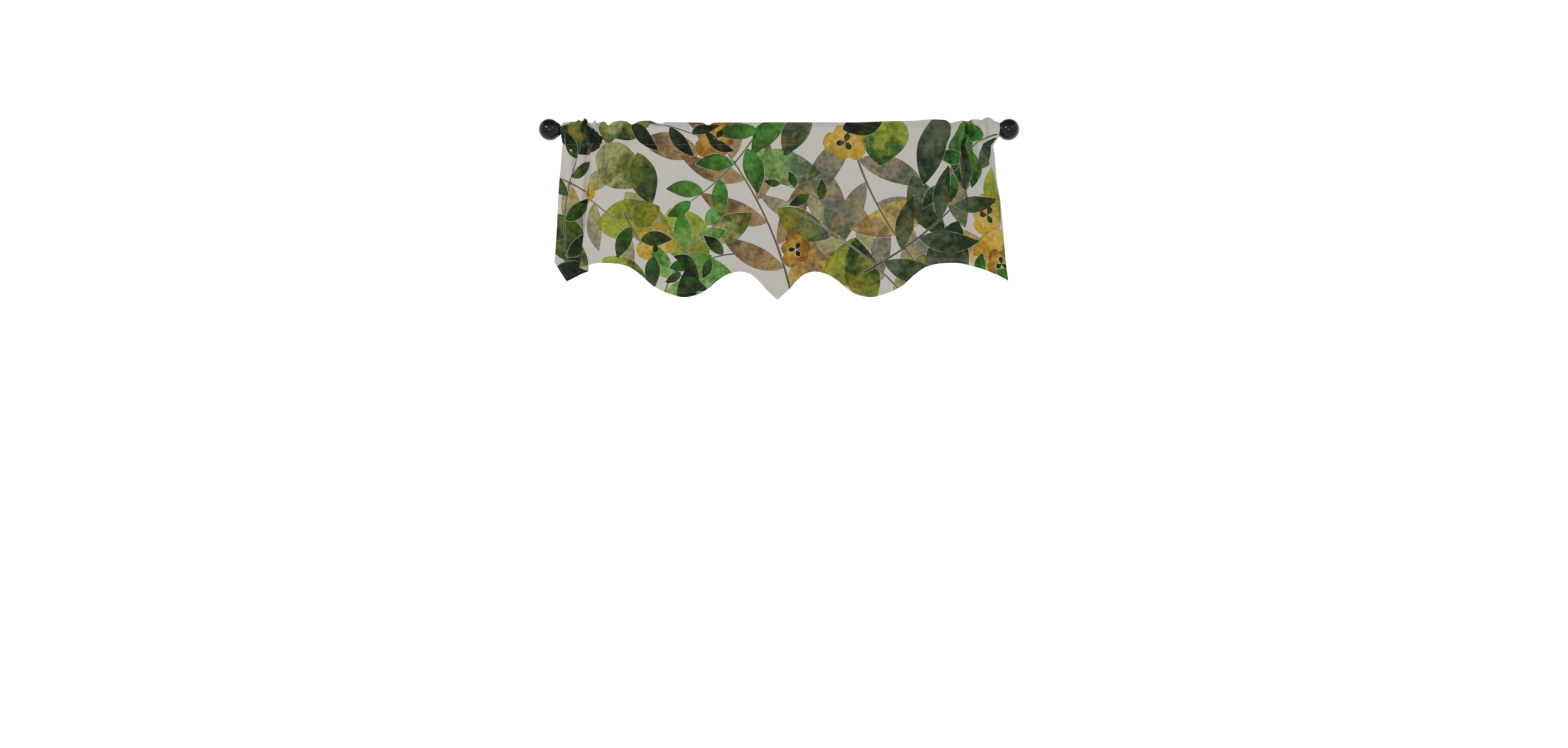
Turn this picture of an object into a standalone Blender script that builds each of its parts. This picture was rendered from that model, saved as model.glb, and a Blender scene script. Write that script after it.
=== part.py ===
"""Window valance on a curtain rod.

A scalloped cloth valance hangs by the rod pocket along its top edge from a
round tube, and a turned ball finial plugs each end of the tube.

Frame: X runs along the rod, -Y faces the room and +Z is up. The origin is the
middle of the rod's axis. Every length is in metres and every angle in degrees.
"""

import math
from collections import namedtuple

import bmesh
import bpy
import numpy as np

# ---------------------------------------------------------------- rod, finials
ROD_RADIUS = 0.008
ROD_WALL = 0.001
ROD_HALF = 0.5305  # from the rod's middle to its cut end
ROUND_SIDES = 24

FIT_GAP = 0.0004  # between any two pieces that touch
BALL_RADIUS = 0.026
BALL_OUT = 0.558  # from the rod's middle to the ball's centre
RING_RADIUS = 0.0175
RING_LENGTH = 0.0085
NECK_RADIUS = 0.0115
PLUG_LENGTH = 0.024
PLUG_CHAMFER = 0.001
BALL_STEPS = 9
RING_STEPS = 3

# ----------------------------------------------------------------------- cloth
CLOTH = 0.0012  # thickness of one layer
HALF_WIDTH = 0.596  # half of the cloth's cut width
CENTRE_X = -0.004  # the middle tip hangs a little left of the rod's middle
POCKET_SLACK = 0.0014  # air between the rod and the cloth that goes round it
POCKET_RADIUS = ROD_RADIUS + POCKET_SLACK + CLOTH
MOUTH_RADIUS = 0.0170  # the pocket's right end opens over the finial's neck
MOUTH_LENGTH = 0.014
LEAST_RISE = 0.0004  # of the top crease above the cloth's round on the rod
SHOULDER = 0.75  # height where the cloth meets the rod's round, in pocket radii
SHOULDER_ROWS = (0.25, 0.5)  # places down the pocket of its upper and lower shoulder
CREASE_HEIGHT = 0.018
SEAM_HEIGHT = -0.037
STITCHED = 0.0011  # half of the thickness where both layers are sewn together
INNER_CREASE_DROP = 0.0026

# Hem of the right half, from the middle tip to the end tip and the side's corner.
HemPoint = namedtuple("HemPoint", "flat height")
HEM = (
    HemPoint(0.000, -0.413),
    HemPoint(0.026, -0.390),
    HemPoint(0.051, -0.362),
    HemPoint(0.071, -0.348),
    HemPoint(0.091, -0.344),
    HemPoint(0.119, -0.3495),
    HemPoint(0.149, -0.367),
    HemPoint(0.172, -0.386),
    HemPoint(0.197, -0.400),
    HemPoint(0.230, -0.4065),
    HemPoint(0.266, -0.398),
    HemPoint(0.305, -0.380),
    HemPoint(0.339, -0.350),
    HemPoint(0.371, -0.330),
    HemPoint(0.405, -0.3235),
    HemPoint(0.434, -0.3225),
    HemPoint(0.474, -0.330),
    HemPoint(0.524, -0.347),
    HemPoint(0.566, -0.3675),
)
CORNER_HEIGHT = -0.321

# The top crease along the rod: crumples, dips and humps.
CreasePoint = namedtuple("CreasePoint", "x height")
CREASE = (
    CreasePoint(-0.5300, 0.0108),
    CreasePoint(-0.5270, 0.0150),
    CreasePoint(-0.5230, 0.0180),
    CreasePoint(-0.5020, 0.0185),
    CreasePoint(-0.4920, 0.0195),
    CreasePoint(-0.4880, 0.0245),
    CreasePoint(-0.4820, 0.0215),
    CreasePoint(-0.4760, 0.0205),
    CreasePoint(-0.4720, 0.0275),
    CreasePoint(-0.4665, 0.0230),
    CreasePoint(-0.4635, 0.0155),
    CreasePoint(-0.4560, 0.0155),
    CreasePoint(-0.4475, 0.0230),
    CreasePoint(-0.4415, 0.0150),
    CreasePoint(-0.4370, 0.0185),
    CreasePoint(-0.4240, 0.0190),
    CreasePoint(-0.4156, 0.0104),
    CreasePoint(-0.4040, 0.0175),
    CreasePoint(-0.3850, 0.0210),
    CreasePoint(-0.3700, 0.0195),
    CreasePoint(-0.3578, 0.0125),
    CreasePoint(-0.3420, 0.0185),
    CreasePoint(-0.3160, 0.0215),
    CreasePoint(-0.2950, 0.0150),
    CreasePoint(-0.2820, 0.0145),
    CreasePoint(-0.2790, 0.0180),
    CreasePoint(-0.1870, 0.0172),
    CreasePoint(-0.1720, 0.0106),
    CreasePoint(-0.1590, 0.0168),
    CreasePoint(0.0000, 0.0178),
    CreasePoint(0.1800, 0.0176),
    CreasePoint(0.2600, 0.0200),
    CreasePoint(0.3250, 0.0212),
    CreasePoint(0.3660, 0.0247),
    CreasePoint(0.4040, 0.0228),
    CreasePoint(0.4162, 0.0165),
    CreasePoint(0.4300, 0.0195),
    CreasePoint(0.4520, 0.0208),
    CreasePoint(0.4580, 0.0190),
    CreasePoint(0.4700, 0.0250),
    CreasePoint(0.4835, 0.0250),
    CreasePoint(0.4880, 0.0225),
    CreasePoint(0.5070, 0.0300),
    CreasePoint(0.5160, 0.0270),
    CreasePoint(0.5250, 0.0208),
    CreasePoint(0.5335, 0.0176),
)
SEAM = (
    CreasePoint(-0.5300, -0.0360),
    CreasePoint(-0.4500, -0.0380),
    CreasePoint(-0.3000, -0.0365),
    CreasePoint(0.3000, -0.0370),
    CreasePoint(0.5335, -0.0390),
)

# Where the cloth's sides hang, as distances from the rod's middle.
SidePoint = namedtuple("SidePoint", "height out")
LEFT_SIDE = (
    SidePoint(-0.367, 0.5580),
    SidePoint(-0.319, 0.5550),
    SidePoint(-0.158, 0.5450),
    SidePoint(-0.105, 0.5395),
    SidePoint(-0.036, 0.5275),
    SidePoint(-0.012, 0.5292),
    SidePoint(0.009, 0.5292),
    SidePoint(0.018, 0.5245),
)
RIGHT_SIDE = (
    SidePoint(-0.367, 0.5690),
    SidePoint(-0.275, 0.5595),
    SidePoint(-0.218, 0.5535),
    SidePoint(-0.166, 0.5475),
    SidePoint(-0.130, 0.5400),
    SidePoint(-0.096, 0.5350),
    SidePoint(-0.060, 0.5275),
    SidePoint(-0.038, 0.5210),
    SidePoint(-0.026, 0.5260),
    SidePoint(-0.015, 0.5327),
    SidePoint(0.009, 0.5335),
    SidePoint(0.018, 0.5325),
)
EASED_FROM = 0.30  # the cloth eases onto those side lines beyond this flat place

# Folds. "flat" is the fold's middle on the flat cloth, out from the centre line,
# and "arc" the width of cloth that it takes. The last five columns are how far
# the cloth turns from the window's plane, in degrees, at each of FOLD_HEIGHTS.
RUFFLE, PLEAT, LAP, CURL = "ruffle", "pleat", "lap", "curl"
LEFT, RIGHT = -1, 1
FOLD_HEIGHTS = (0.005, -0.037, -0.100, -0.220, -0.360)
Fold = namedtuple("Fold", "side kind flat arc pocket seam upper middle hem")
FOLDS = (
    Fold(LEFT, RUFFLE, 0.130, 0.180, 2, 3, 5, 7, 8),
    Fold(LEFT, RUFFLE, 0.262, 0.120, 5, 5, 4, 6, 7),
    Fold(LEFT, RUFFLE, 0.330, 0.062, 26, 20, 10, 5, 3),
    Fold(LEFT, RUFFLE, 0.392, 0.062, 30, 22, 12, 6, 4),
    Fold(LEFT, RUFFLE, 0.461, 0.025, 92, 55, 22, 8, 0),
    Fold(LEFT, RUFFLE, 0.499, 0.028, 96, 55, 10, 0, 0),
    Fold(LEFT, RUFFLE, 0.533, 0.028, 96, 55, 26, 10, 5),
    Fold(LEFT, PLEAT, 0.500, 0.034, 0, 0, 58, 96, 162),
    Fold(LEFT, RUFFLE, 0.573, 0.040, 30, 26, 16, 12, 10),
    Fold(RIGHT, RUFFLE, 0.120, 0.200, 2, 3, 5, 6, 8),
    Fold(RIGHT, RUFFLE, 0.300, 0.150, 5, 6, 8, 8, 7),
    Fold(RIGHT, RUFFLE, 0.400, 0.070, 20, 14, 8, 6, 5),
    Fold(RIGHT, LAP, 0.462, 0.046, 120, 112, 84, 22, 6),
    Fold(RIGHT, RUFFLE, 0.505, 0.036, 60, 48, 28, 12, 6),
    Fold(RIGHT, RUFFLE, 0.549, 0.048, 58, 54, 26, 10, 4),
    Fold(RIGHT, CURL, 0.562, 0.012, 0, 14, 64, 72, 92),
)
LAP_LEAD = 0.6  # share of a lap that rises gently before it turns under
LAP_LEAD_TURN = 0.42  # of the gentle rise against the turn under
PLEAT_EASE = 0.28  # share of a pleat that each of its two bends takes
FOLDS_CLOSE_FROM = 0.43  # beyond this, pocket folds come back to the rod's line
FRONT_FOLDS_BY = 0.3  # place down the pocket by which its front has the whole fold
BACK_FLAT_FROM, BACK_FLAT_TO = 0.4, 0.6  # between these the pocket's back has no fold
LAYERS_MEET_FROM = 0.8  # from here down to the seam the pocket's layers close up
PANEL_SETTLES_BY = 0.3  # share of the panel's drop in which the pocket's folds fade
SEAM_THINS_BY = 0.035  # share of the drop in which the sewn thickness fades

# Grids: the fine one works the folds out, and the solid keeps some of its columns.
FINE_STEP = 0.0005
TINY = 1e-9  # keeps a division by a length from failing
ClothLayers = namedtuple("ClothLayers", "front back pocket_back front_inside back_inside")
ColumnZone = namedtuple("ColumnZone", "start end step")
COLUMN_ZONES = (
    ColumnZone(-HALF_WIDTH, -0.566, 0.0060),
    ColumnZone(-0.566, -0.440, 0.0045),
    ColumnZone(-0.440, -0.280, 0.0160),
    ColumnZone(-0.280, 0.000, 0.0235),
    ColumnZone(0.000, 0.360, 0.0225),
    ColumnZone(0.360, 0.436, 0.0150),
    ColumnZone(0.436, 0.566, 0.0054),
    ColumnZone(0.566, HALF_WIDTH, 0.0060),
)
# Places down the pocket, from its crease to its seam, and down the panel, to the hem.
POCKET_ROWS = (0.0, 0.125, 0.25, 0.375, 0.5, 0.68, 0.86, 1.0)
PANEL_ROWS = (0.0, 0.035, 0.16, 0.35, 0.55, 0.78, 1.0)

SHARP_EDGE = 50  # an edge that bends more than this is shaded sharp

# Finish: linear colour, roughness and metallic.
Finish = namedtuple("Finish", "colour roughness metallic")
PRINTED_COTTON = Finish((0.19, 0.22, 0.13), 0.85, 0.0)
DARK_BRONZE = Finish((0.018, 0.015, 0.014), 0.28, 0.9)


# ---------------------------------------------------------------- small maths
def ease(amount):
    """Smooth step from 0 to 1."""
    amount = np.clip(amount, 0.0, 1.0)
    return amount * amount * (3.0 - 2.0 * amount)


def smooth_table(places, values, at):
    """A smooth curve through a table's points that never swings past them."""
    places, values = np.asarray(places), np.asarray(values)
    rises = np.diff(values) / np.diff(places)
    before, after = rises[:-1], rises[1:]
    both = np.where(before * after > 0, before + after, 1.0)
    inner = np.where(before * after > 0, 2 * before * after / both, 0.0)
    slopes = np.concatenate([rises[:1], inner, rises[-1:]])
    k = np.clip(np.searchsorted(places, at) - 1, 0, len(places) - 2)
    span = places[k + 1] - places[k]
    s = np.clip((at - places[k]) / span, 0.0, 1.0)
    start = (1 + 2 * s) * (1 - s) ** 2 * values[k] + s * (1 - s) ** 2 * span * slopes[k]
    end = s * s * (3 - 2 * s) * values[k + 1] + s * s * (s - 1) * span * slopes[k + 1]
    return start + end


def columns_of(rows, *names):
    """The named columns of a table, as lists."""
    return [[getattr(row, name) for row in rows] for name in names]


def hem_height(flat):
    """Height of the hem at flat places out from the centre line: swags, tips and cut corner."""
    places, heights = columns_of(HEM, "flat", "height")
    curve = smooth_table(places, heights, flat)
    past_tip = (flat - places[-1]) / (HALF_WIDTH - places[-1])
    corner = heights[-1] + (CORNER_HEIGHT - heights[-1]) * past_tip
    return np.where(past_tip > 0, corner, curve)


# ---------------------------------------------------------------- cloth folds
def fold_turn(fold, flat, height):
    """How far one fold turns the cloth, in radians, at flat places and heights."""
    strengths = (fold.hem, fold.middle, fold.upper, fold.seam, fold.pocket)
    most = np.radians(np.interp(height, FOLD_HEIGHTS[::-1], strengths))
    along = (flat - fold.flat) / fold.arc + 0.5
    inside = (along > 0) & (along < 1)
    if fold.kind == RUFFLE:
        return -most * np.sin(2 * math.pi * along) * inside
    if fold.kind == PLEAT:
        return most * ease(along / PLEAT_EASE) * ease((1 - along) / PLEAT_EASE)
    if fold.kind == CURL:
        return most * ease(along)
    rise = -LAP_LEAD_TURN * most * np.sin(math.pi * np.clip(along / LAP_LEAD, 0, 1))
    under = most * np.sin(math.pi * np.clip((along - LAP_LEAD) / (1 - LAP_LEAD), 0, 1))
    return rise + under


def hang(side, height, side_table, in_pocket):
    """Plan of one half's rows: (x, y, turn) on the fine grid, rows by columns.

    height holds the height of every grid point. Going out from the centre line,
    the cloth advances by cos(turn) along the rod and by sin(turn) to the back.
    """
    flat = np.arange(height.shape[1]) * FINE_STEP
    turn = sum(fold_turn(fold, flat, height) for fold in FOLDS if fold.side == side)
    out = np.zeros_like(height)
    back = np.zeros_like(height)
    middles = (turn[:, 1:] + turn[:, :-1]) / 2
    out[:, 1:] = np.cumsum(np.cos(middles), axis=1) * FINE_STEP
    back[:, 1:] = np.cumsum(np.sin(middles), axis=1) * FINE_STEP
    out += side * CENTRE_X
    wanted = np.interp(height[:, -1], *columns_of(side_table, "height", "out"))
    share = ease((flat - EASED_FROM) / (HALF_WIDTH - EASED_FROM))
    out += (wanted - out.max(axis=1))[:, None] * share
    if in_pocket:
        closing = ease((flat - FOLDS_CLOSE_FROM) / (HALF_WIDTH - FOLDS_CLOSE_FROM))
        back -= back[:, -1:] * closing
    return side * out, back, side * turn


def whole_width(height, in_pocket):
    """Both halves of hang() joined into rows that run from the left side to the right."""
    middle = height.shape[1] // 2
    left = hang(LEFT, height[:, middle::-1], LEFT_SIDE, in_pocket)
    right = hang(RIGHT, height[:, middle:], RIGHT_SIDE, in_pocket)
    return [
        np.concatenate([one[:, ::-1], other[:, 1:]], axis=1)
        for one, other in zip(left, right)
    ]


def pocket_height(down, crease, seam, shoulder):
    """Height at a place down the pocket, where 0 is its crease and 1 its seam."""
    upper, lower = SHOULDER_ROWS
    above = crease + (shoulder - crease) * down / upper
    beside = shoulder * (1 - 2 * (down - upper) / (lower - upper))
    below = -shoulder + (seam + shoulder) * (down - lower) / (1 - lower)
    return np.where(down < upper, above, np.where(down < lower, beside, below))


def pocket_half_depth(height, crease, seam, radius):
    """Half of the pocket's depth: a round on the rod, with straight sides to crease and seam."""
    to_crease = (crease - height) * radius / np.sqrt(crease**2 - radius**2)
    to_seam = (height - seam) * radius / np.sqrt(seam**2 - radius**2)
    on_rod = np.sqrt(np.maximum(radius**2 - height**2, 0.0))
    depth = np.where(height > radius**2 / crease, to_crease, on_rod)
    depth = np.where(height < radius**2 / seam, to_seam, depth)
    return np.maximum(depth, 0.0)


def inward(points, flip):
    """Unit normals of a grid of points, on the side that flip, 1 or -1, chooses."""
    down = np.gradient(points, axis=0)
    across = np.gradient(points, axis=1)
    normal = np.cross(across, down) * flip
    return normal / np.maximum(np.linalg.norm(normal, axis=2, keepdims=True), TINY)


def clear_of_rod(points, least):
    """Moves points that lie nearer the rod's axis than least out to that radius."""
    radius = np.hypot(points[..., 1], points[..., 2])
    grow = np.maximum(least / np.maximum(radius, TINY), 1.0)
    points[..., 1] *= grow
    points[..., 2] *= grow
    return points


def cloth_layers(pocket_rows, panel_rows, columns):
    """The cloth's faces as ClothLayers, each a grid of rows by columns by 3.

    The front runs from the crease past the seam to the hem, the back from the seam
    to the hem, and the other three from the crease to the seam.
    """
    count = round(HALF_WIDTH / FINE_STEP)
    flat = np.arange(-count, count + 1) * FINE_STEP
    v = np.asarray(pocket_rows)[:, None]
    w = np.asarray(panel_rows)[:, None]

    # The pocket: plan first, then the heights that depend on where it hangs.
    nominal = pocket_height(v, CREASE_HEIGHT, SEAM_HEIGHT, POCKET_RADIUS * SHOULDER) + 0 * flat
    x, fold, _ = whole_width(nominal, True)
    radius = POCKET_RADIUS + (MOUTH_RADIUS - POCKET_RADIUS) * ease(
        1 - (RIGHT_SIDE[-2].out - x[:1]) / MOUTH_LENGTH
    )
    crease = smooth_table(*columns_of(CREASE, "x", "height"), x[:1])
    crease = np.maximum(crease, radius + LEAST_RISE)
    seam = np.interp(x[-1:], *columns_of(SEAM, "x", "height"))
    z = pocket_height(v, crease, seam, radius * SHOULDER)
    half = pocket_half_depth(z, crease, seam, radius)
    half = np.maximum(half, STITCHED * ease((v - LAYERS_MEET_FROM) / (1 - LAYERS_MEET_FROM)))
    front_share = 0.5 + 0.5 * ease(v / FRONT_FOLDS_BY)
    back_again = ease((v - BACK_FLAT_TO) / (1 - BACK_FLAT_TO))
    back_share = 0.5 - ease(v / BACK_FLAT_FROM) + 1.5 * back_again
    pocket_front = np.stack([x, fold * front_share - half, z], axis=2)
    pocket_back = np.stack([x, fold * back_share + half, z], axis=2)
    least = radius[0] - CLOTH
    front_inside = pocket_front + CLOTH * inward(pocket_front, 1)
    back_inside = pocket_back + CLOTH * inward(pocket_back, -1)
    front_inside = clear_of_rod(front_inside, least)
    back_inside = clear_of_rod(back_inside, least)
    pocket_front = clear_of_rod(pocket_front, least + CLOTH)
    pocket_back = clear_of_rod(pocket_back, least + CLOTH)
    for inside in (front_inside, back_inside):
        inside[0] = (pocket_front[0] + pocket_back[0]) / 2 - (0, 0, INNER_CREASE_DROP)
        inside[-1] = (pocket_front[-1] + pocket_back[-1]) / 2 + (0, 0, CLOTH)
    front_inside[0] = back_inside[0] = clear_of_rod(front_inside[0], least)

    # The panel below the seam.
    height = seam + (hem_height(np.abs(flat)) - seam) * w
    px, py, turn = whole_width(height, False)
    unsettled = 1 - ease(w / PANEL_SETTLES_BY)
    px = px + (x[-1:] - px[:1]) * unsettled
    py = py + (fold[-1:] - py[:1]) * unsettled
    panel = np.stack([px, py - STITCHED, height], axis=2)
    behind = np.stack([-np.sin(turn), np.cos(turn), 0 * turn], axis=2)
    thickness = CLOTH + (2 * STITCHED - CLOTH) * (1 - ease(w / SEAM_THINS_BY))
    panel_back = panel + behind * thickness[..., None]
    panel_back[0] = pocket_back[-1]
    front = np.concatenate([pocket_front, panel[1:]])

    keep = np.round(np.asarray(columns) / FINE_STEP).astype(int) + count
    grids = (front, panel_back, pocket_back, front_inside, back_inside)
    return ClothLayers(*(grid[:, keep] for grid in grids))


# ---------------------------------------------------------------- meshes
def grid_faces(index, flip=False):
    """Quads of a grid of vertex numbers."""
    a, b = index[:-1, :-1], index[1:, :-1]
    c, d = index[1:, 1:], index[:-1, 1:]
    quads = np.stack([a, b, c, d], axis=-1).reshape(-1, 4)
    return (quads[:, ::-1] if flip else quads).tolist()


def cloth_mesh(name, layers):
    """One closed mesh of the whole cloth, with the pocket's tunnel right through it."""
    points, numbers = [], []
    for grid in layers:
        start = sum(len(block) for block in points)
        points.append(grid.reshape(-1, 3))
        numbers.append(start + np.arange(grid[..., 0].size).reshape(grid.shape[:2]))
    face, rear, pocket_rear, inner_front, inner_rear = numbers
    seam = len(layers.pocket_back) - 1
    pocket_rear[0], pocket_rear[-1] = face[0], rear[0]
    inner_rear[0], inner_rear[-1] = inner_front[0], inner_front[-1]

    faces = grid_faces(face) + grid_faces(rear, flip=True)
    faces += grid_faces(pocket_rear, flip=True)
    faces += grid_faces(inner_front, flip=True) + grid_faces(inner_rear)
    faces += grid_faces(np.stack([face[-1], rear[-1]]))
    for column, flip in ((0, True), (-1, False)):
        walls = (
            (face[: seam + 1], inner_front, flip),
            (pocket_rear, inner_rear, not flip),
            (face[seam:], rear, flip),
        )
        for outer, inner, turned in walls:
            pair = np.stack([outer[:, column], inner[:, column]], axis=1)
            faces += grid_faces(pair, flip=turned)
        corner = [face[seam, column], inner_front[-1, column], rear[0, column]]
        faces.append([int(n) for n in (corner[::-1] if flip else corner)])

    mesh = bpy.data.meshes.new(name)
    mesh.from_pydata(np.concatenate(points).tolist(), [], faces)
    bm = bmesh.new()
    bm.from_mesh(mesh)
    loose = [vert for vert in bm.verts if not vert.link_faces]
    bmesh.ops.delete(bm, geom=loose, context="VERTS")
    bmesh.ops.recalc_face_normals(bm, faces=bm.faces)
    bm.to_mesh(mesh)
    bm.free()
    return mesh


def turned_mesh(name, profile, bored=False):
    """A profile of (along, radius) points turned round the X axis, closed by caps or as a tube."""
    bm = bmesh.new()
    rings = []
    for along, radius in profile:
        ring = []
        for k in range(ROUND_SIDES):
            angle = 2 * math.pi * k / ROUND_SIDES
            place = (along, radius * math.cos(angle), radius * math.sin(angle))
            ring.append(bm.verts.new(place))
        rings.append(ring)
    pairs = list(zip(rings, rings[1:] + rings[:1] if bored else rings[1:]))
    for ring, following in pairs:
        for k in range(ROUND_SIDES):
            n = (k + 1) % ROUND_SIDES
            bm.faces.new((ring[k], ring[n], following[n], following[k]))
    if not bored:
        bm.faces.new(rings[0])
        bm.faces.new(rings[-1][::-1])
    bmesh.ops.recalc_face_normals(bm, faces=bm.faces)
    mesh = bpy.data.meshes.new(name)
    bm.to_mesh(mesh)
    bm.free()
    return mesh


def rod_profile():
    """A tube: its outer side, then its bore."""
    bore = ROD_RADIUS - ROD_WALL
    return [(-ROD_HALF, ROD_RADIUS), (ROD_HALF, ROD_RADIUS), (ROD_HALF, bore), (-ROD_HALF, bore)]


def finial_profile():
    """Plug, ring and ball of a finial, as (along, radius) out from the rod's middle."""
    plug = ROD_RADIUS - ROD_WALL - FIT_GAP
    face = ROD_HALF + FIT_GAP
    inner_end = face - PLUG_LENGTH
    profile = [(inner_end, plug - PLUG_CHAMFER), (inner_end + PLUG_CHAMFER, plug), (face, plug)]
    for k in range(RING_STEPS + 1):
        share = k / RING_STEPS
        swell = math.sin(math.pi / 2 * share)
        radius = NECK_RADIUS + (RING_RADIUS - NECK_RADIUS) * swell
        profile.append((face + RING_LENGTH * share, radius))
    ring_end = math.asin(RING_RADIUS / BALL_RADIUS)
    for k in range(BALL_STEPS):
        angle = ring_end + (math.pi - ring_end) * (k + 0.5) / BALL_STEPS
        along = BALL_OUT - BALL_RADIUS * math.cos(angle)
        profile.append((along, BALL_RADIUS * math.sin(angle)))
    return profile


# ---------------------------------------------------------------- objects
def material(name, finish):
    """A material of one finish."""
    made = bpy.data.materials.new(name)
    made.use_nodes = True
    shader = made.node_tree.nodes["Principled BSDF"]
    shader.inputs["Base Color"].default_value = (*finish.colour, 1.0)
    shader.inputs["Roughness"].default_value = finish.roughness
    shader.inputs["Metallic"].default_value = finish.metallic
    return made


def place(name, mesh, made):
    """Puts a mesh in the scene as the named object, shaded smooth but for its sharp edges."""
    mesh.shade_smooth()
    mesh.set_sharp_from_angle(angle=math.radians(SHARP_EDGE))
    mesh.materials.append(made)
    obj = bpy.data.objects.new(name, mesh)
    bpy.context.scene.collection.objects.link(obj)


def column_places():
    """Flat places of the solid's columns, left to right, closer together in tight folds."""
    places = []
    for zone in COLUMN_ZONES:
        count = round((zone.end - zone.start) / zone.step)
        places += [zone.start + (zone.end - zone.start) * k / count for k in range(count)]
    return places + [COLUMN_ZONES[-1].end]


def build_valance():
    """The cloth, hung with its folds."""
    layers = cloth_layers(POCKET_ROWS, PANEL_ROWS, column_places())
    cotton = material("printed_cotton", PRINTED_COTTON)
    place("valance", cloth_mesh("valance", layers), cotton)


def build_rod(bronze):
    """The tube that carries the cloth."""
    place("rod", turned_mesh("rod", rod_profile(), bored=True), bronze)


def build_finials(bronze):
    """A turned ball finial for each end of the tube."""
    for name, side in (("finial_left", LEFT), ("finial_right", RIGHT)):
        profile = [(side * along, radius) for along, radius in finial_profile()]
        place(name, turned_mesh(name, profile), bronze)


def main():
    """Clears the scene and builds the pieces."""
    for obj in list(bpy.data.objects):
        bpy.data.objects.remove(obj, do_unlink=True)
    bronze = material("dark_bronze", DARK_BRONZE)
    build_valance()
    build_rod(bronze)
    build_finials(bronze)


main()
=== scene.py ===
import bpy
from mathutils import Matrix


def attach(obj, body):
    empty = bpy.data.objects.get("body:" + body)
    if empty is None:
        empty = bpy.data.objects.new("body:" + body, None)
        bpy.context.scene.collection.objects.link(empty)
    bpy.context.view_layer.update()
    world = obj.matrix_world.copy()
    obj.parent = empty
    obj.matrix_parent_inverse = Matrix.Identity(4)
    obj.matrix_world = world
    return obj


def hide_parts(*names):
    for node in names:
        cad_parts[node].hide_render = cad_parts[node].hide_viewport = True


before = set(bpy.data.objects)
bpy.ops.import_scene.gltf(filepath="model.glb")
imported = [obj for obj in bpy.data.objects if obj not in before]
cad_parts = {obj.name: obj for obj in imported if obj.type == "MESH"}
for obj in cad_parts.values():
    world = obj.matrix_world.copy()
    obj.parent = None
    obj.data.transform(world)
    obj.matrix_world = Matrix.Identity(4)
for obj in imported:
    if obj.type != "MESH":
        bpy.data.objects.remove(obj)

"""Looks of a scalloped, leaf-printed window valance on its curtain rod.

X runs along the rod, -Y faces the room and +Z is up, with the origin in the middle
of the rod's axis. Lengths are metres. The cloth repeats the folds of its solid at a
finer pitch, and adds soft creases, puckered seams, stitches and the print.
"""

import logging
import math
from dataclasses import dataclass, field
from enum import Enum
from typing import NamedTuple

import bmesh
import bpy
import numpy as np
from mathutils import Vector

LOG = logging.getLogger("valance")
BODY = "root"
Array = np.ndarray
Colour = tuple[float, float, float]
Limits = tuple[float, float]
Noise = tuple[float, float, float]
Place = tuple[float, float, float]
Number = "Term | float"
Sockets = bpy.types.bpy_prop_collection


# ------------------------------------------------------------------ named options
class Side(Enum):
    """A half of the cloth, as the sign of its X."""

    LEFT = -1
    RIGHT = 1


class FoldKind(Enum):
    """How a fold turns the cloth."""

    RUFFLE = "stands out and comes back"
    PLEAT = "steps back and stays back"
    LAP = "rises gently and turns under itself"
    CURL = "turns back to the cloth's edge"


class Layer(Enum):
    """Layers of the print, in the order in which they are printed."""

    WASH = 0
    BROAD = 1
    BLOOM = 2
    FRESH = 3
    DEEP = 4


class Ink(Enum):
    """Inks of the print, as display colours from 0 to 255."""

    NIGHT = (30, 34, 32)
    FOREST = (38, 58, 38)
    GREEN = (54, 88, 38)
    LEAF = (72, 128, 54)
    LIGHT_LEAF = (122, 160, 92)
    MOSS = (84, 98, 40)
    OLIVE = (118, 126, 50)
    LIME = (146, 156, 58)
    PALE_OLIVE = (152, 152, 106)
    OCHRE = (180, 146, 54)
    GOLD = (196, 168, 88)
    RUST = (136, 94, 38)
    TAN = (150, 126, 90)
    BROWN = (98, 80, 58)
    STONE = (132, 122, 108)
    SAGE = (84, 96, 74)


# ------------------------------------------------------------------ tables
class Fold(NamedTuple):
    """One fold: its middle and width on the flat cloth, and its degrees at FOLD_HEIGHTS."""

    side: Side
    kind: FoldKind
    flat: float
    arc: float
    pocket: float
    seam: float
    upper: float
    middle: float
    hem: float


class Station(NamedTuple):
    """A point of a curve: a place along the cloth or the rod, and a height."""

    at: float
    height: float


class SidePoint(NamedTuple):
    """How far from the rod's middle a side of the cloth hangs at a height."""

    height: float
    out: float


class Crease(NamedTuple):
    """A soft trough or ridge: its two ends on the flat cloth, half width and depth."""

    x: float
    height: float
    to_x: float
    to_height: float
    half: float
    depth: float


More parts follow.
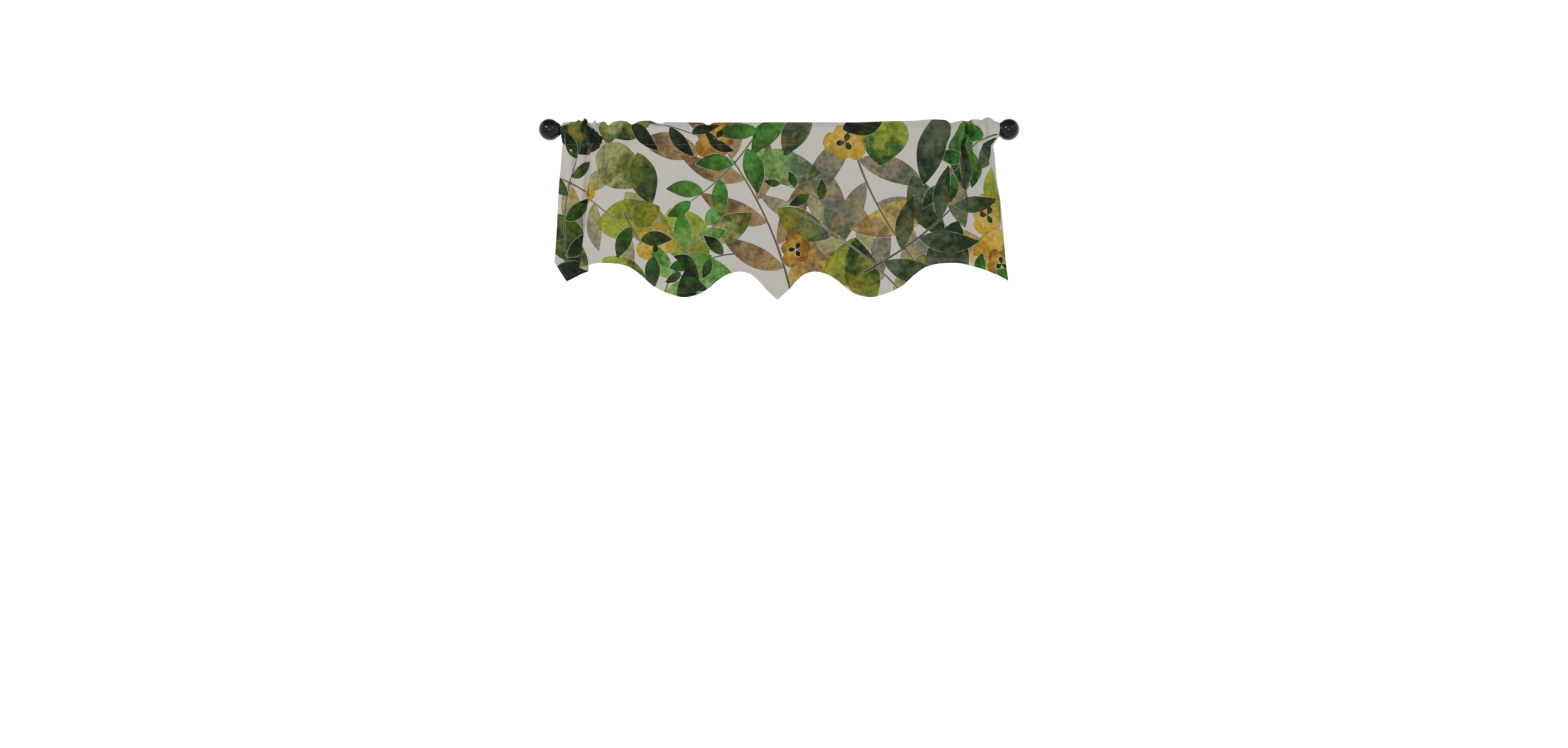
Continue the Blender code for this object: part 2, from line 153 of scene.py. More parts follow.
FOLD_HEIGHTS = (0.005, -0.037, -0.100, -0.220, -0.360)
FOLDS = tuple(Fold(*row) for row in (
    (Side.LEFT, FoldKind.RUFFLE, 0.130, 0.180, 2, 3, 5, 7, 8),
    (Side.LEFT, FoldKind.RUFFLE, 0.262, 0.120, 5, 5, 4, 6, 7),
    (Side.LEFT, FoldKind.RUFFLE, 0.330, 0.062, 26, 20, 10, 5, 3),
    (Side.LEFT, FoldKind.RUFFLE, 0.392, 0.062, 30, 22, 12, 6, 4),
    (Side.LEFT, FoldKind.RUFFLE, 0.461, 0.025, 98, 58, 22, 8, 0),
    (Side.LEFT, FoldKind.RUFFLE, 0.499, 0.028, 104, 60, 10, 0, 0),
    (Side.LEFT, FoldKind.RUFFLE, 0.533, 0.028, 103, 60, 28, 12, 6),
    (Side.LEFT, FoldKind.PLEAT, 0.500, 0.034, 0, 0, 58, 96, 162),
    (Side.LEFT, FoldKind.RUFFLE, 0.573, 0.040, 30, 26, 16, 12, 10),
    (Side.RIGHT, FoldKind.RUFFLE, 0.120, 0.200, 2, 3, 5, 6, 8),
    (Side.RIGHT, FoldKind.RUFFLE, 0.300, 0.150, 5, 6, 8, 8, 7),
    (Side.RIGHT, FoldKind.RUFFLE, 0.400, 0.070, 20, 14, 8, 6, 5),
    (Side.RIGHT, FoldKind.LAP, 0.462, 0.046, 120, 112, 84, 22, 6),
    (Side.RIGHT, FoldKind.RUFFLE, 0.505, 0.036, 60, 48, 28, 12, 6),
    (Side.RIGHT, FoldKind.RUFFLE, 0.549, 0.048, 58, 54, 26, 10, 4),
    (Side.RIGHT, FoldKind.CURL, 0.562, 0.012, 0, 14, 64, 72, 92),
))
HEM = tuple(Station(*pair) for pair in (
    (0.000, -0.413), (0.026, -0.390), (0.051, -0.362), (0.071, -0.348),
    (0.091, -0.344), (0.119, -0.3495), (0.149, -0.367), (0.172, -0.386),
    (0.197, -0.400), (0.230, -0.4065), (0.266, -0.398), (0.305, -0.380),
    (0.339, -0.350), (0.371, -0.330), (0.405, -0.3235), (0.434, -0.3225),
    (0.474, -0.330), (0.524, -0.347), (0.566, -0.3675),
))
CREASE_LINE = tuple(Station(*pair) for pair in (
    (-0.5300, 0.0108), (-0.5270, 0.0150), (-0.5230, 0.0180), (-0.5020, 0.0185),
    (-0.4920, 0.0195), (-0.4880, 0.0245), (-0.4820, 0.0215), (-0.4760, 0.0205),
    (-0.4720, 0.0275), (-0.4665, 0.0230), (-0.4635, 0.0155), (-0.4560, 0.0155),
    (-0.4475, 0.0230), (-0.4415, 0.0150), (-0.4370, 0.0185), (-0.4240, 0.0190),
    (-0.4156, 0.0104), (-0.4040, 0.0175), (-0.3850, 0.0210), (-0.3700, 0.0195),
    (-0.3578, 0.0125), (-0.3420, 0.0185), (-0.3160, 0.0215), (-0.2950, 0.0150),
    (-0.2820, 0.0145), (-0.2790, 0.0180), (-0.1870, 0.0172), (-0.1720, 0.0106),
    (-0.1590, 0.0168), (0.0000, 0.0178), (0.1800, 0.0176), (0.2600, 0.0200),
    (0.3250, 0.0212), (0.3660, 0.0247), (0.4040, 0.0228), (0.4162, 0.0165),
    (0.4300, 0.0195), (0.4520, 0.0208), (0.4580, 0.0190), (0.4700, 0.0250),
    (0.4835, 0.0250), (0.4880, 0.0225), (0.5070, 0.0300), (0.5160, 0.0270),
    (0.5250, 0.0208), (0.5335, 0.0176),
))
SEAM_LINE = tuple(Station(*pair) for pair in (
    (-0.5300, -0.0360), (-0.4500, -0.0380), (-0.3000, -0.0365), (0.3000, -0.0370),
    (0.5335, -0.0390),
))
SIDES = {
    Side.LEFT: tuple(SidePoint(*pair) for pair in (
        (-0.367, 0.5580), (-0.319, 0.5550), (-0.158, 0.5450), (-0.105, 0.5395),
        (-0.036, 0.5275), (-0.012, 0.5292), (0.009, 0.5292), (0.018, 0.5245),
    )),
    Side.RIGHT: tuple(SidePoint(*pair) for pair in (
        (-0.367, 0.5690), (-0.275, 0.5595), (-0.218, 0.5535), (-0.166, 0.5475),
        (-0.130, 0.5400), (-0.096, 0.5350), (-0.060, 0.5275), (-0.038, 0.5210),
        (-0.026, 0.5260), (-0.015, 0.5327), (0.009, 0.5335), (0.018, 0.5325),
    )),
}
# Soft creases of the hung cloth, on its flat coordinates. A positive depth is a trough.
CREASES = tuple(Crease(*row) for row in (
    (-0.556, -0.04, -0.56, -0.11, 0.006, 0.003), (-0.58, -0.045, -0.566, -0.052, 0.004, 0.0022),
    (-0.53, -0.045, -0.52, -0.12, 0.009, -0.003), (-0.44, -0.04, -0.452, -0.13, 0.008, 0.0028),
    (-0.392, -0.04, -0.384, -0.085, 0.007, -0.0022), (-0.33, -0.04, -0.322, -0.09, 0.008, 0.0024),
    (-0.262, -0.042, -0.25, -0.075, 0.007, -0.0018), (-0.18, -0.04, -0.174, -0.07, 0.006, 0.002),
    (-0.066, -0.042, -0.06, -0.08, 0.009, 0.0014), (0.055, -0.042, 0.062, -0.086, 0.009, -0.0014),
    (0.166, -0.04, 0.17, -0.09, 0.008, 0.0016), (0.262, -0.04, 0.275, -0.11, 0.009, 0.0022),
    (0.345, -0.04, 0.352, -0.12, 0.009, -0.0024), (0.44, -0.045, 0.436, -0.15, 0.009, 0.003),
    (0.52, -0.045, 0.508, -0.18, 0.01, 0.0028), (-0.3, -0.25, -0.292, -0.35, 0.016, 0.0022),
    (0.02, -0.2, 0.012, -0.34, 0.022, 0.0018), (0.31, -0.21, 0.322, -0.34, 0.018, 0.0022),
    (0.47, -0.2, 0.486, -0.31, 0.014, 0.0022), (0.482, -0.09, 0.5, -0.24, 0.012, -0.0022),
    (-0.47, -0.06, -0.462, -0.3, 0.01, 0.0024), (-0.42, -0.18, -0.414, -0.31, 0.016, -0.0018),
))


# ------------------------------------------------------------------ small maths
def ease(amount: Array) -> Array:
    """Smooth step from 0 to 1."""
    amount = np.clip(amount, 0.0, 1.0)
    return amount * amount * (3.0 - 2.0 * amount)


def smooth_table(places: Array, values: Array, at: Array) -> Array:
    """A smooth curve through a table's points that never swings past them.

    Args:
        places: the table's places, rising.
        values: its values.
        at: where the curve is wanted.

    Returns:
        The curve's values at those places.
    """
    places, values = np.asarray(places), np.asarray(values)
    rises = np.diff(values) / np.diff(places)
    before, after = rises[:-1], rises[1:]
    both = np.where(before * after > 0, before + after, 1.0)
    inner = np.where(before * after > 0, 2 * before * after / both, 0.0)
    slopes = np.concatenate([rises[:1], inner, rises[-1:]])
    k = np.clip(np.searchsorted(places, at) - 1, 0, len(places) - 2)
    span = places[k + 1] - places[k]
    s = np.clip((at - places[k]) / span, 0.0, 1.0)
    start = (1 + 2 * s) * (1 - s) ** 2 * values[k] + s * (1 - s) ** 2 * span * slopes[k]
    end = s * s * (3 - 2 * s) * values[k + 1] + s * s * (s - 1) * span * slopes[k + 1]
    return start + end


def linear(display: tuple[int, int, int]) -> Colour:
    """A display colour from 0 to 255 as a linear one."""
    shares = [value / 255 for value in display]
    return tuple(s / 12.92 if s <= 0.04045 else ((s + 0.055) / 1.055) ** 2.4 for s in shares)


def distance_to_line(x: Array, y: Array, line: Array) -> tuple[Array, Array, Array]:
    """Nearest distance from points to an open line of corners.

    Args:
        x: the points' first coordinates.
        y: their second coordinates.
        line: the corners, n by 2.

    Returns:
        The distance, the share of the line's length at the nearest point, and the
        side on which the point lies as 1 or -1.
    """
    best = np.full(x.shape, np.inf)
    share = np.zeros(x.shape)
    sign = np.ones(x.shape)
    steps = np.hypot(*(line[1:] - line[:-1]).T)
    before = np.concatenate([[0.0], np.cumsum(steps)])
    for k, (start, end) in enumerate(zip(line[:-1], line[1:])):
        dx, dy = end - start
        t = np.clip(((x - start[0]) * dx + (y - start[1]) * dy) / (dx * dx + dy * dy), 0, 1)
        away = np.hypot(x - start[0] - t * dx, y - start[1] - t * dy)
        nearer = away < best
        best = np.where(nearer, away, best)
        share = np.where(nearer, (before[k] + t * steps[k]) / before[-1], share)
        turned = np.sign(dx * (y - start[1]) - dy * (x - start[0]))
        sign = np.where(nearer, np.where(turned == 0, 1.0, turned), sign)
    return best, share, sign


def inside_outline(x: Array, y: Array, outline: Array) -> Array:
    """Whether points lie inside a closed outline.

    Args:
        x: the points' first coordinates.
        y: their second coordinates.
        outline: the corners, n by 2.

    Returns:
        True for each point inside.
    """
    inside = np.zeros(x.shape, bool)
    for (x0, y0), (x1, y1) in zip(outline, np.roll(outline, -1, axis=0)):
        if y0 == y1:
            continue
        crosses = (y0 > y) != (y1 > y)
        inside ^= crosses & (x < (x1 - x0) * (y - y0) / (y1 - y0) + x0)
    return inside


def add_object(name: str, data: bpy.types.ID) -> bpy.types.Object:
    """Puts an object of that data in the scene.

    Args:
        name: its name.
        data: its mesh, camera or light.

    Returns:
        The object.
    """
    made = bpy.data.objects.new(name, data)
    bpy.context.scene.collection.objects.link(made)
    return made


def spun(profile: list[Vector], axis: Place, turns: int, merge: float) -> bmesh.types.BMesh:
    """Turns an outline round an axis through the origin, as on a lathe.

    Args:
        profile: the outline's points.
        axis: the axis.
        turns: how many faces go round.
        merge: how close points are that become one.

    Returns:
        The turned form, its faces all on the same side.
    """
    form = bmesh.new()
    chain = [form.verts.new(point) for point in profile]
    edges = [form.edges.new(pair) for pair in zip(chain, chain[1:])]
    bmesh.ops.spin(
        form, geom=chain + edges, cent=(0, 0, 0), axis=axis, dvec=(0, 0, 0),
        angle=math.tau, steps=turns, use_merge=True,
    )
    bmesh.ops.remove_doubles(form, verts=form.verts, dist=merge)
    bmesh.ops.recalc_face_normals(form, faces=form.faces)
    return form


def smooth_mesh(name: str, form: bmesh.types.BMesh) -> bpy.types.Mesh:
    """Makes a smoothly shaded mesh of a form, and frees the form.

    Args:
        name: the mesh's name.
        form: the form.

    Returns:
        The mesh.
    """
    mesh = bpy.data.meshes.new(name)
    form.to_mesh(mesh)
    form.free()
    mesh.shade_smooth()
    return mesh


# ------------------------------------------------------------------ shader maths
class Term:
    """A shader socket that Python's operators extend with Math nodes."""

    def __init__(self, paint: "Paint", socket: bpy.types.NodeSocket) -> None:
        """Keeps the material's builder and the socket."""
        self.paint = paint
        self.socket = socket

    def __add__(self, other: Number) -> "Term":
        """Sum."""
        return self.paint.maths("ADD", self, other)

    def __sub__(self, other: Number) -> "Term":
        """Difference."""
        return self.paint.maths("SUBTRACT", self, other)

    def __rsub__(self, other: float) -> "Term":
        """A number less this term."""
        return self.paint.maths("SUBTRACT", other, self)

    def __mul__(self, other: Number) -> "Term":
        """Product."""
        return self.paint.maths("MULTIPLY", self, other)

    __radd__ = __add__
    __rmul__ = __mul__

    def size(self) -> "Term":
        """Absolute value."""
        return self.paint.maths("ABSOLUTE", self)

    def held(self) -> "Term":
        """The term kept between 0 and 1."""
        return self.paint.maths("ADD", self, 0.0, clamp=True)


class Paint:
    """Builds one material's node tree."""

    def __init__(self, name: str) -> None:
        """Starts a material with a Principled shader.

        Args:
            name: the material's name.
        """
        self.material = bpy.data.materials.new(name)
        self.material.use_nodes = True
        self.tree = self.material.node_tree
        self.shader = self.tree.nodes["Principled BSDF"]

    def socket(self, sockets: Sockets, name: str) -> bpy.types.NodeSocket:
        """The socket with that identifier or, failing that, that name."""
        by_identifier = [one for one in sockets if one.identifier == name]
        return by_identifier[0] if by_identifier else sockets[name]

    def join(self, value: object, socket: bpy.types.NodeSocket) -> None:
        """Links a term to a socket, or sets a plain value on it.

        Args:
            value: the term, number, colour or vector.
            socket: the socket that takes it.
        """
        if isinstance(value, Term):
            self.tree.links.new(value.socket, socket)
        else:
            socket.default_value = value

    def node(self, kind: str, output: str, settings: dict | None = None, **inputs: object) -> Term:
        """Adds a node.

        Args:
            kind: the node's type.
            output: its output's identifier or name.
            settings: properties that are set first.
            inputs: values or terms of its sockets. Two underscores stand for a space.

        Returns:
            The chosen output.
        """
        made = self.tree.nodes.new(kind)
        for key, value in (settings or {}).items():
            setattr(made, key, value)
        for key, value in inputs.items():
            self.join(value, self.socket(made.inputs, key.replace("__", " ")))
        return Term(self, self.socket(made.outputs, output))

    def maths(self, operation: str, *values: Number, clamp: bool = False) -> Term:
        """Adds a Math node.

        Args:
            operation: what it does.
            values: one to three terms or numbers.
            clamp: whether its result is kept between 0 and 1.

        Returns:
            Its result.
        """
        made = self.tree.nodes.new("ShaderNodeMath")
        made.operation = operation
        made.use_clamp = clamp
        for value, socket in zip(values, made.inputs):
            self.join(value, socket)
        return Term(self, made.outputs[0])

    def mix(self, factor: Number, first: object, second: object, blend: str = "MIX") -> Term:
        """Mixes two colours.

        Args:
            factor: the share of the second.
            first: the first colour, as a term or a plain colour.
            second: the second colour, likewise.
            blend: how they mix.

        Returns:
            The mixed colour.
        """
        first, second = ((*one, 1.0) if isinstance(one, tuple) else one for one in (first, second))
        settings = {"data_type": "RGBA", "blend_type": blend, "clamp_factor": True}
        return self.node(
            "ShaderNodeMix", "Result_Color", settings,
            Factor_Float=factor, A_Color=first, B_Color=second,
        )

    def ramp(self, value: Term, low: float, high: float) -> Term:
        """A smooth step of a value from low to high."""
        settings = {"interpolation_type": "SMOOTHSTEP", "clamp": True}
        return self.node(
            "ShaderNodeMapRange", "Result", settings, Value=value, From__Min=low, From__Max=high
        )

    def attribute(self, name: str, output: str) -> Term:
        """Reads a named attribute of the mesh."""
        return self.node("ShaderNodeAttribute", output, {"attribute_name": name})

    def noise(self, vector: Term, scale: float, detail: float, roughness: float) -> Term:
        """Noise about 0.5 on coordinates."""
        sizes = {"Scale": scale, "Detail": detail, "Roughness": roughness}
        return self.node("ShaderNodeTexNoise", "Fac", Vector=vector, **sizes)

    def place(self) -> Term:
        """Object coordinates."""
        return self.node("ShaderNodeTexCoord", "Object")

    def bump(self, height: Term, strength: float, distance: float) -> Term:
        """The normal of a surface with small relief."""
        sizes = {"Strength": strength, "Distance": distance}
        return self.node("ShaderNodeBump", "Normal", Height=height, **sizes)

    def set(self, **inputs: object) -> None:
        """Sets or links inputs of the Principled shader."""
        for key, value in inputs.items():
            self.join(value, self.shader.inputs[key.replace("__", " ")])


@dataclass(frozen=True)
class DarkBronze:
    """Dark bronze lacquer over turned metal."""

    name: str
    roughness: float = 0.18
    roughness_spread: float = 0.12
    dark: Colour = linear((26, 20, 19))
    warm: Colour = linear((58, 38, 34))
    cloud: Noise = (28.0, 4.0, 0.6)
    grain: Noise = (900.0, 2.0, 0.5)
    patch: Limits = (0.42, 0.74)
    patch_strength: float = 0.55
    relief: tuple[float, float] = (0.03, 0.0003)

    def build(self) -> bpy.types.Material:
        """Builds the material: a cloudy patina under a clear coat.

        Returns:
            The material.
        """
        paint = Paint(self.name)
        place = paint.place()
        cloud = paint.noise(place, *self.cloud)
        patch = paint.ramp(cloud, *self.patch)
        least = self.roughness - self.roughness_spread / 3
        paint.set(
            Base__Color=paint.mix(patch * self.patch_strength, self.dark, self.warm),
            Roughness=cloud * self.roughness_spread + least,
            Metallic=0.95,
            Coat__Weight=0.5,
            Coat__Roughness=0.06,
            Normal=paint.bump(paint.noise(place, *self.grain), *self.relief),
        )
        return paint.material


@dataclass(frozen=True)
class CottonThread:
    """Matt sewing thread with a little twist, whose twist hollows are darkened with painted shade.
    """

    name: str = "cotton_thread"
    shade: Colour = linear((178, 172, 160))
    # painted shade: a darker colour, mixed in by the twist noise, that stands for shade in the
    # thread's twist hollows
    twist_hollow_shade: Colour = linear((120, 114, 102))
    twist: Noise = (2400.0, 2.0, 0.6)

    def build(self) -> bpy.types.Material:
        """Builds the material.

        Returns:
            The material.
        """
        paint = Paint(self.name)
        twist = paint.noise(paint.place(), *self.twist)
        paint.set(
            # the thread's colour with the painted shade of its twist hollows mixed in
            Base__Color=paint.mix(twist * 0.5, self.shade, self.twist_hollow_shade),
            Roughness=0.9,
            Sheen__Weight=0.2,
        )
        return paint.material


@dataclass(frozen=True)
class Watercolour:
    """How the colour of a printed motif flows, pools and dries."""

    noises: dict[str, Noise] = field(default_factory=lambda: {
        "wobble": (210.0, 2.0, 0.55),
        "cloud": (30.0, 3.0, 0.6),
        "bloom": (85.0, 4.0, 0.65),
        "salt": (300.0, 3.0, 0.6),
        "fringe": (150.0, 4.0, 0.7),
        "tint": (17.0, 3.0, 0.6),
    })
    see_through: dict[Layer, float] = field(default_factory=lambda: {
        Layer.WASH: 0.6, Layer.BROAD: 0.5, Layer.BLOOM: 0.3, Layer.FRESH: 0.4, Layer.DEEP: 0.35,
    })
    tinted: tuple[Layer, ...] = (Layer.WASH, Layer.BROAD)
    edge_wander: float = 1.8
    along_share: float = 0.9
    cloud_share: float = 1.9
    fringe_share: float = 0.3
    flow_start: float = 1.10
    flow: Limits = (0.10, 0.80)
    tint: Limits = (0.5, 0.68)
    tint_strong: float = 0.42
    tint_faint: float = 0.12
    tint_shade: Colour = linear((170, 146, 62))
    pool: Limits = (0.44, 0.74)
    pool_strength: float = 0.55
    speck: Limits = (0.6, 0.72)
    speck_clear: Limits = (0.42, 0.6)
    speck_strength: float = 0.5
    speck_shade: Colour = linear((60, 62, 50))
    lift: Limits = (0.50, 0.28)
    lift_strength: float = 0.3
    edge: Limits = (0.0, 0.6)
    rim: Limits = (0.3, 1.9)
    rim_strength: float = 0.8
    rim_shade: Colour = linear((48, 50, 40))
    halo: Colour = linear((216, 211, 200))
    halo_reach: Limits = (-1.3, -0.2)
    halo_broken: Limits = (0.60, 0.40)
    halo_strength: float = 0.6

    def over(
        self, paint: Paint, under: Term, layer: Layer, ground: Colour, noises: dict[str, Term]
    ) -> Term:
        """Prints one layer over the colour beneath it.

        Args:
            paint: the material's builder.
            under: the colour beneath.
            layer: the layer to print.
            ground: the bare cloth's colour.
            noises: the shared noises.

        Returns:
            The printed colour.
        """
        tag = layer.name.lower()
        edge = paint.attribute(f"{tag}_edge", "Fac") + noises["wobble"] * self.edge_wander
        edge = edge - self.edge_wander / 2
        along = paint.attribute(f"{tag}_deep", "Alpha")
        pale = paint.attribute(f"{tag}_pale", "Color")
        deep = paint.attribute(f"{tag}_deep", "Color")
        cloud, bloom = noises["cloud"], noises["bloom"]
        flow = along * self.along_share + cloud * self.cloud_share
        flow = flow + noises["fringe"] * self.fringe_share - self.flow_start
        wash = paint.mix(paint.ramp(flow, *self.flow), pale, deep)
        most = self.tint_strong if layer in self.tinted else self.tint_faint
        wash = paint.mix(paint.ramp(noises["tint"], *self.tint) * most, wash, self.tint_shade)
        pool = paint.ramp(bloom, *self.pool) * self.pool_strength
        wash = paint.mix(pool, wash, deep, "MULTIPLY")
        speck = paint.ramp(noises["salt"], *self.speck)
        speck = speck * (1.0 - paint.ramp(cloud, *self.speck_clear))
        wash = paint.mix(speck * self.speck_strength, wash, self.speck_shade, "MULTIPLY")
        lift = paint.ramp(bloom, *self.lift) * self.lift_strength
        wash = paint.mix(lift, wash, pale, "SCREEN")
        beneath = paint.mix(1.0, under, ground, "DIVIDE")
        wash = paint.mix(self.see_through[layer], wash, beneath, "MULTIPLY")
        inside = paint.ramp(edge, *self.edge)
        rim = (1.0 - paint.ramp(edge, *self.rim)) * (cloud * 1.3 + 0.1).held()
        wash = paint.mix(rim * self.rim_strength, wash, self.rim_shade, "MULTIPLY")
        near = paint.ramp(edge, *self.halo_reach) * (1.0 - inside)
        left_bare = near * paint.ramp(noises["tint"], *self.halo_broken) * self.halo_strength
        return paint.mix(inside, paint.mix(left_bare, under, self.halo), wash)


@dataclass(frozen=True)
class PrintedCotton:
    """Plain-woven cotton with a watercolour leaf print on its face."""

    name: str = "printed_cotton"
    ground: Colour = linear((193, 188, 182))
    slub_shade: Colour = linear((172, 165, 160))
    slub_strength: float = 0.35
    stem: Colour = linear((52, 60, 42))
    stem_fades: Limits = (3.0, 5.0)
    stem_edge: Limits = (0.8, 1.1)
    stem_halo: Limits = (1.0, 1.6)
    warp_pitch: float = 0.0006
    slub_along: float = 34.0
    slub_across: float = 1500.0
    shade_by_slubs: float = 0.16
    grey: Colour = (0.55, 0.53, 0.5)
    relief: tuple[float, float] = (0.35, 0.0003)
    reverse_print: float = 0.22
    watercolour: Watercolour = Watercolour()

    def stems(self, paint: Paint, under: Term, noises: dict[str, Term]) -> Term:
        """Draws the stems over the colour beneath them.

        Args:
            paint: the material's builder.
            under: the colour beneath.
            noises: the shared noises.

        Returns:
            The printed colour.
        """
        off = paint.attribute("stem_off", "Fac").size() + noises["wobble"] * 0.5 - 0.25
        close = 1.0 - paint.ramp(paint.attribute("stem_near", "Fac"), *self.stem_fades)
        ringed = (1.0 - paint.ramp(off, *self.stem_halo)) * close * 0.5
        colour = paint.mix(ringed, under, self.watercolour.halo)
        ink = paint.mix(noises["cloud"], self.stem, paint.attribute("stem_ink", "Color"))
        return paint.mix((1.0 - paint.ramp(off, *self.stem_edge)) * close * 0.95, colour, ink)

    def weave(self, paint: Paint, flat: Term) -> tuple[Term, Term]:
        """Threads of the plain weave and the slubs of its uneven yarn.

        Args:
            paint: the material's builder.
            flat: coordinates on the flat cloth, in metres.

        Returns:
            The height of the threads and the slubs, both about 0 to 1.
        """
        parts = [paint.node("ShaderNodeSeparateXYZ", axis, Vector=flat) for axis in "XY"]
        waves = [paint.maths("SINE", part * (math.tau / self.warp_pitch)) for part in parts]
        slubs = []
        along, across = self.slub_along, self.slub_across
        for stretch in ((along, across, 1.0), (across, along, 1.0)):
            drawn = paint.node("ShaderNodeMapping", "Vector", Vector=flat, Scale=stretch)
            slubs.append(paint.noise(drawn, 1.0, 1.0, 0.5))
        return waves[0] * waves[1] * 0.5 + 0.5, (slubs[0] + slubs[1]) * 0.5

    def build(self) -> bpy.types.Material:
        """Builds the material: ground, five printed layers, stems, weave and reverse.

        Returns:
            The material.
        """
        paint = Paint(self.name)
        flat = paint.node("ShaderNodeUVMap", "UV", {"uv_map": "cut"})
        ways = self.watercolour
        noises = {name: paint.noise(flat, *sizes) for name, sizes in ways.noises.items()}
        threads, slubs = self.weave(paint, flat)
        ground = colour = paint.mix(slubs * self.slub_strength, self.ground, self.slub_shade)
        for layer in Layer:
            if layer is Layer.BLOOM:
                colour = self.stems(paint, colour, noises)
            colour = ways.over(paint, colour, layer, self.ground, noises)
        printed = 1.0 - paint.attribute("reverse", "Fac") * (1.0 - self.reverse_print)
        colour = paint.mix(printed, ground, colour)
        paint.set(
            Base__Color=paint.mix(slubs * self.shade_by_slubs, colour, self.grey, "SOFT_LIGHT"),
            Roughness=0.9,
            Specular__IOR__Level=0.12,
            Sheen__Weight=0.03,
            Sheen__Roughness=0.4,
            Normal=paint.bump(threads * 0.5 + slubs * 1.4, *self.relief),
        )
        return paint.material


# ------------------------------------------------------------------ the print
@dataclass
class Motif:
    """A printed shape: its outline and the line that its colour runs along."""

    layer: Layer
    outline: Array
    spine: Array
    pale: Ink
    deep: Ink


@dataclass(frozen=True)
class LeafShape:
    """A leaf blade about a bent midrib."""

    length: float
    width: float
    bend: float = 0.0
    fullest: float = 0.45
    point: float = 1.0

    def blade(
        self, x: float, height: float, heading: float, steps: int = 14
    ) -> tuple[Array, Array]:
        """Places the blade.

        Args:
            x: where its base is.
            height: how high its base is.
            heading: its direction in degrees, 0 to the right and 90 up.
            steps: how many pieces each side has.

        Returns:
            Its outline and its midrib.
        """
        share = np.linspace(0.0, 1.0, steps + 1)
        turn = np.radians(heading + self.bend * (share - 0.5))
        step = self.length / steps
        rib_x = x + np.concatenate([[0.0], np.cumsum(np.cos(turn[:-1]) * step)])
        rib_y = height + np.concatenate([[0.0], np.cumsum(np.sin(turn[:-1]) * step)])
        skew = math.log(0.5) / math.log(self.fullest)
        half = self.width / 2 * np.sin(math.pi * share**skew) ** self.point
        left = np.stack([rib_x - half * np.sin(turn), rib_y + half * np.cos(turn)], axis=1)
        right = np.stack([rib_x + half * np.sin(turn), rib_y - half * np.cos(turn)], axis=1)
        return np.concatenate([left, right[-2:0:-1]]), np.stack([rib_x, rib_y], axis=1)


class Sprig(NamedTuple):
    """A stem with leaves on alternate sides. Angles are degrees, 0 to the right."""

    x: float
    height: float
    heading: float
    length: float
    bend: float
    leaves: int
    leaf: float
    slim: float
    spread: float
    pale: Ink
    deep: Ink


class Broad(NamedTuple):
    """A single broad or long leaf."""

    x: float
    height: float
    heading: float
    length: float
    width: float
    bend: float
    pale: Ink
    deep: Ink


class Blossom(NamedTuple):
    """A round blossom of five petals with a dark heart."""

    x: float
    height: float
    radius: float
    turn: float
    pale: Ink
    deep: Ink


SPRIGS = {
    Layer.WASH: (
        (0.040, -0.430, 116, 0.47, 30, 8, 0.185, 0.30, 42, Ink.TAN, Ink.BROWN),
        (0.170, 0.020, -60, 0.46, 34, 8, 0.180, 0.31, 44, Ink.STONE, Ink.SAGE),
        (0.345, -0.440, 142, 0.40, 26, 6, 0.150, 0.32, 42, Ink.PALE_OLIVE, Ink.STONE),
        (-0.610, -0.110, -32, 0.34, -24, 6, 0.140, 0.34, 46, Ink.PALE_OLIVE, Ink.STONE),
    ),
    Layer.FRESH: (
        (-0.030, 0.030, 226, 0.30, -34, 6, 0.105, 0.44, 48, Ink.LEAF, Ink.GREEN),
        (-0.290, -0.430, 58, 0.25, -30, 6, 0.098, 0.48, 46, Ink.LIGHT_LEAF, Ink.LEAF),
        (0.590, -0.010, 216, 0.24, 30, 5, 0.094, 0.42, 44, Ink.LEAF, Ink.FOREST),
        (0.420, -0.380, 30, 0.22, 40, 5, 0.064, 0.46, 52, Ink.LEAF, Ink.GREEN),
    ),
    Layer.DEEP: (
        (-0.560, -0.350, 84, 0.36, -40, 7, 0.082, 0.42, 48, Ink.GREEN, Ink.NIGHT),
        (-0.380, -0.200, -44, 0.24, 40, 5, 0.084, 0.46, 50, Ink.GREEN, Ink.FOREST),
        (-0.400, 0.028, -14, 0.26, -22, 5, 0.094, 0.36, 38, Ink.FOREST, Ink.NIGHT),
        (0.215, -0.345, 40, 0.42, 22, 7, 0.150, 0.33, 40, Ink.SAGE, Ink.FOREST),
        (0.130, -0.190, 156, 0.15, 30, 4, 0.056, 0.44, 54, Ink.GREEN, Ink.FOREST),
        (-0.100, -0.300, 200, 0.16, 30, 4, 0.062, 0.44, 50, Ink.GREEN, Ink.NIGHT),
    ),
}
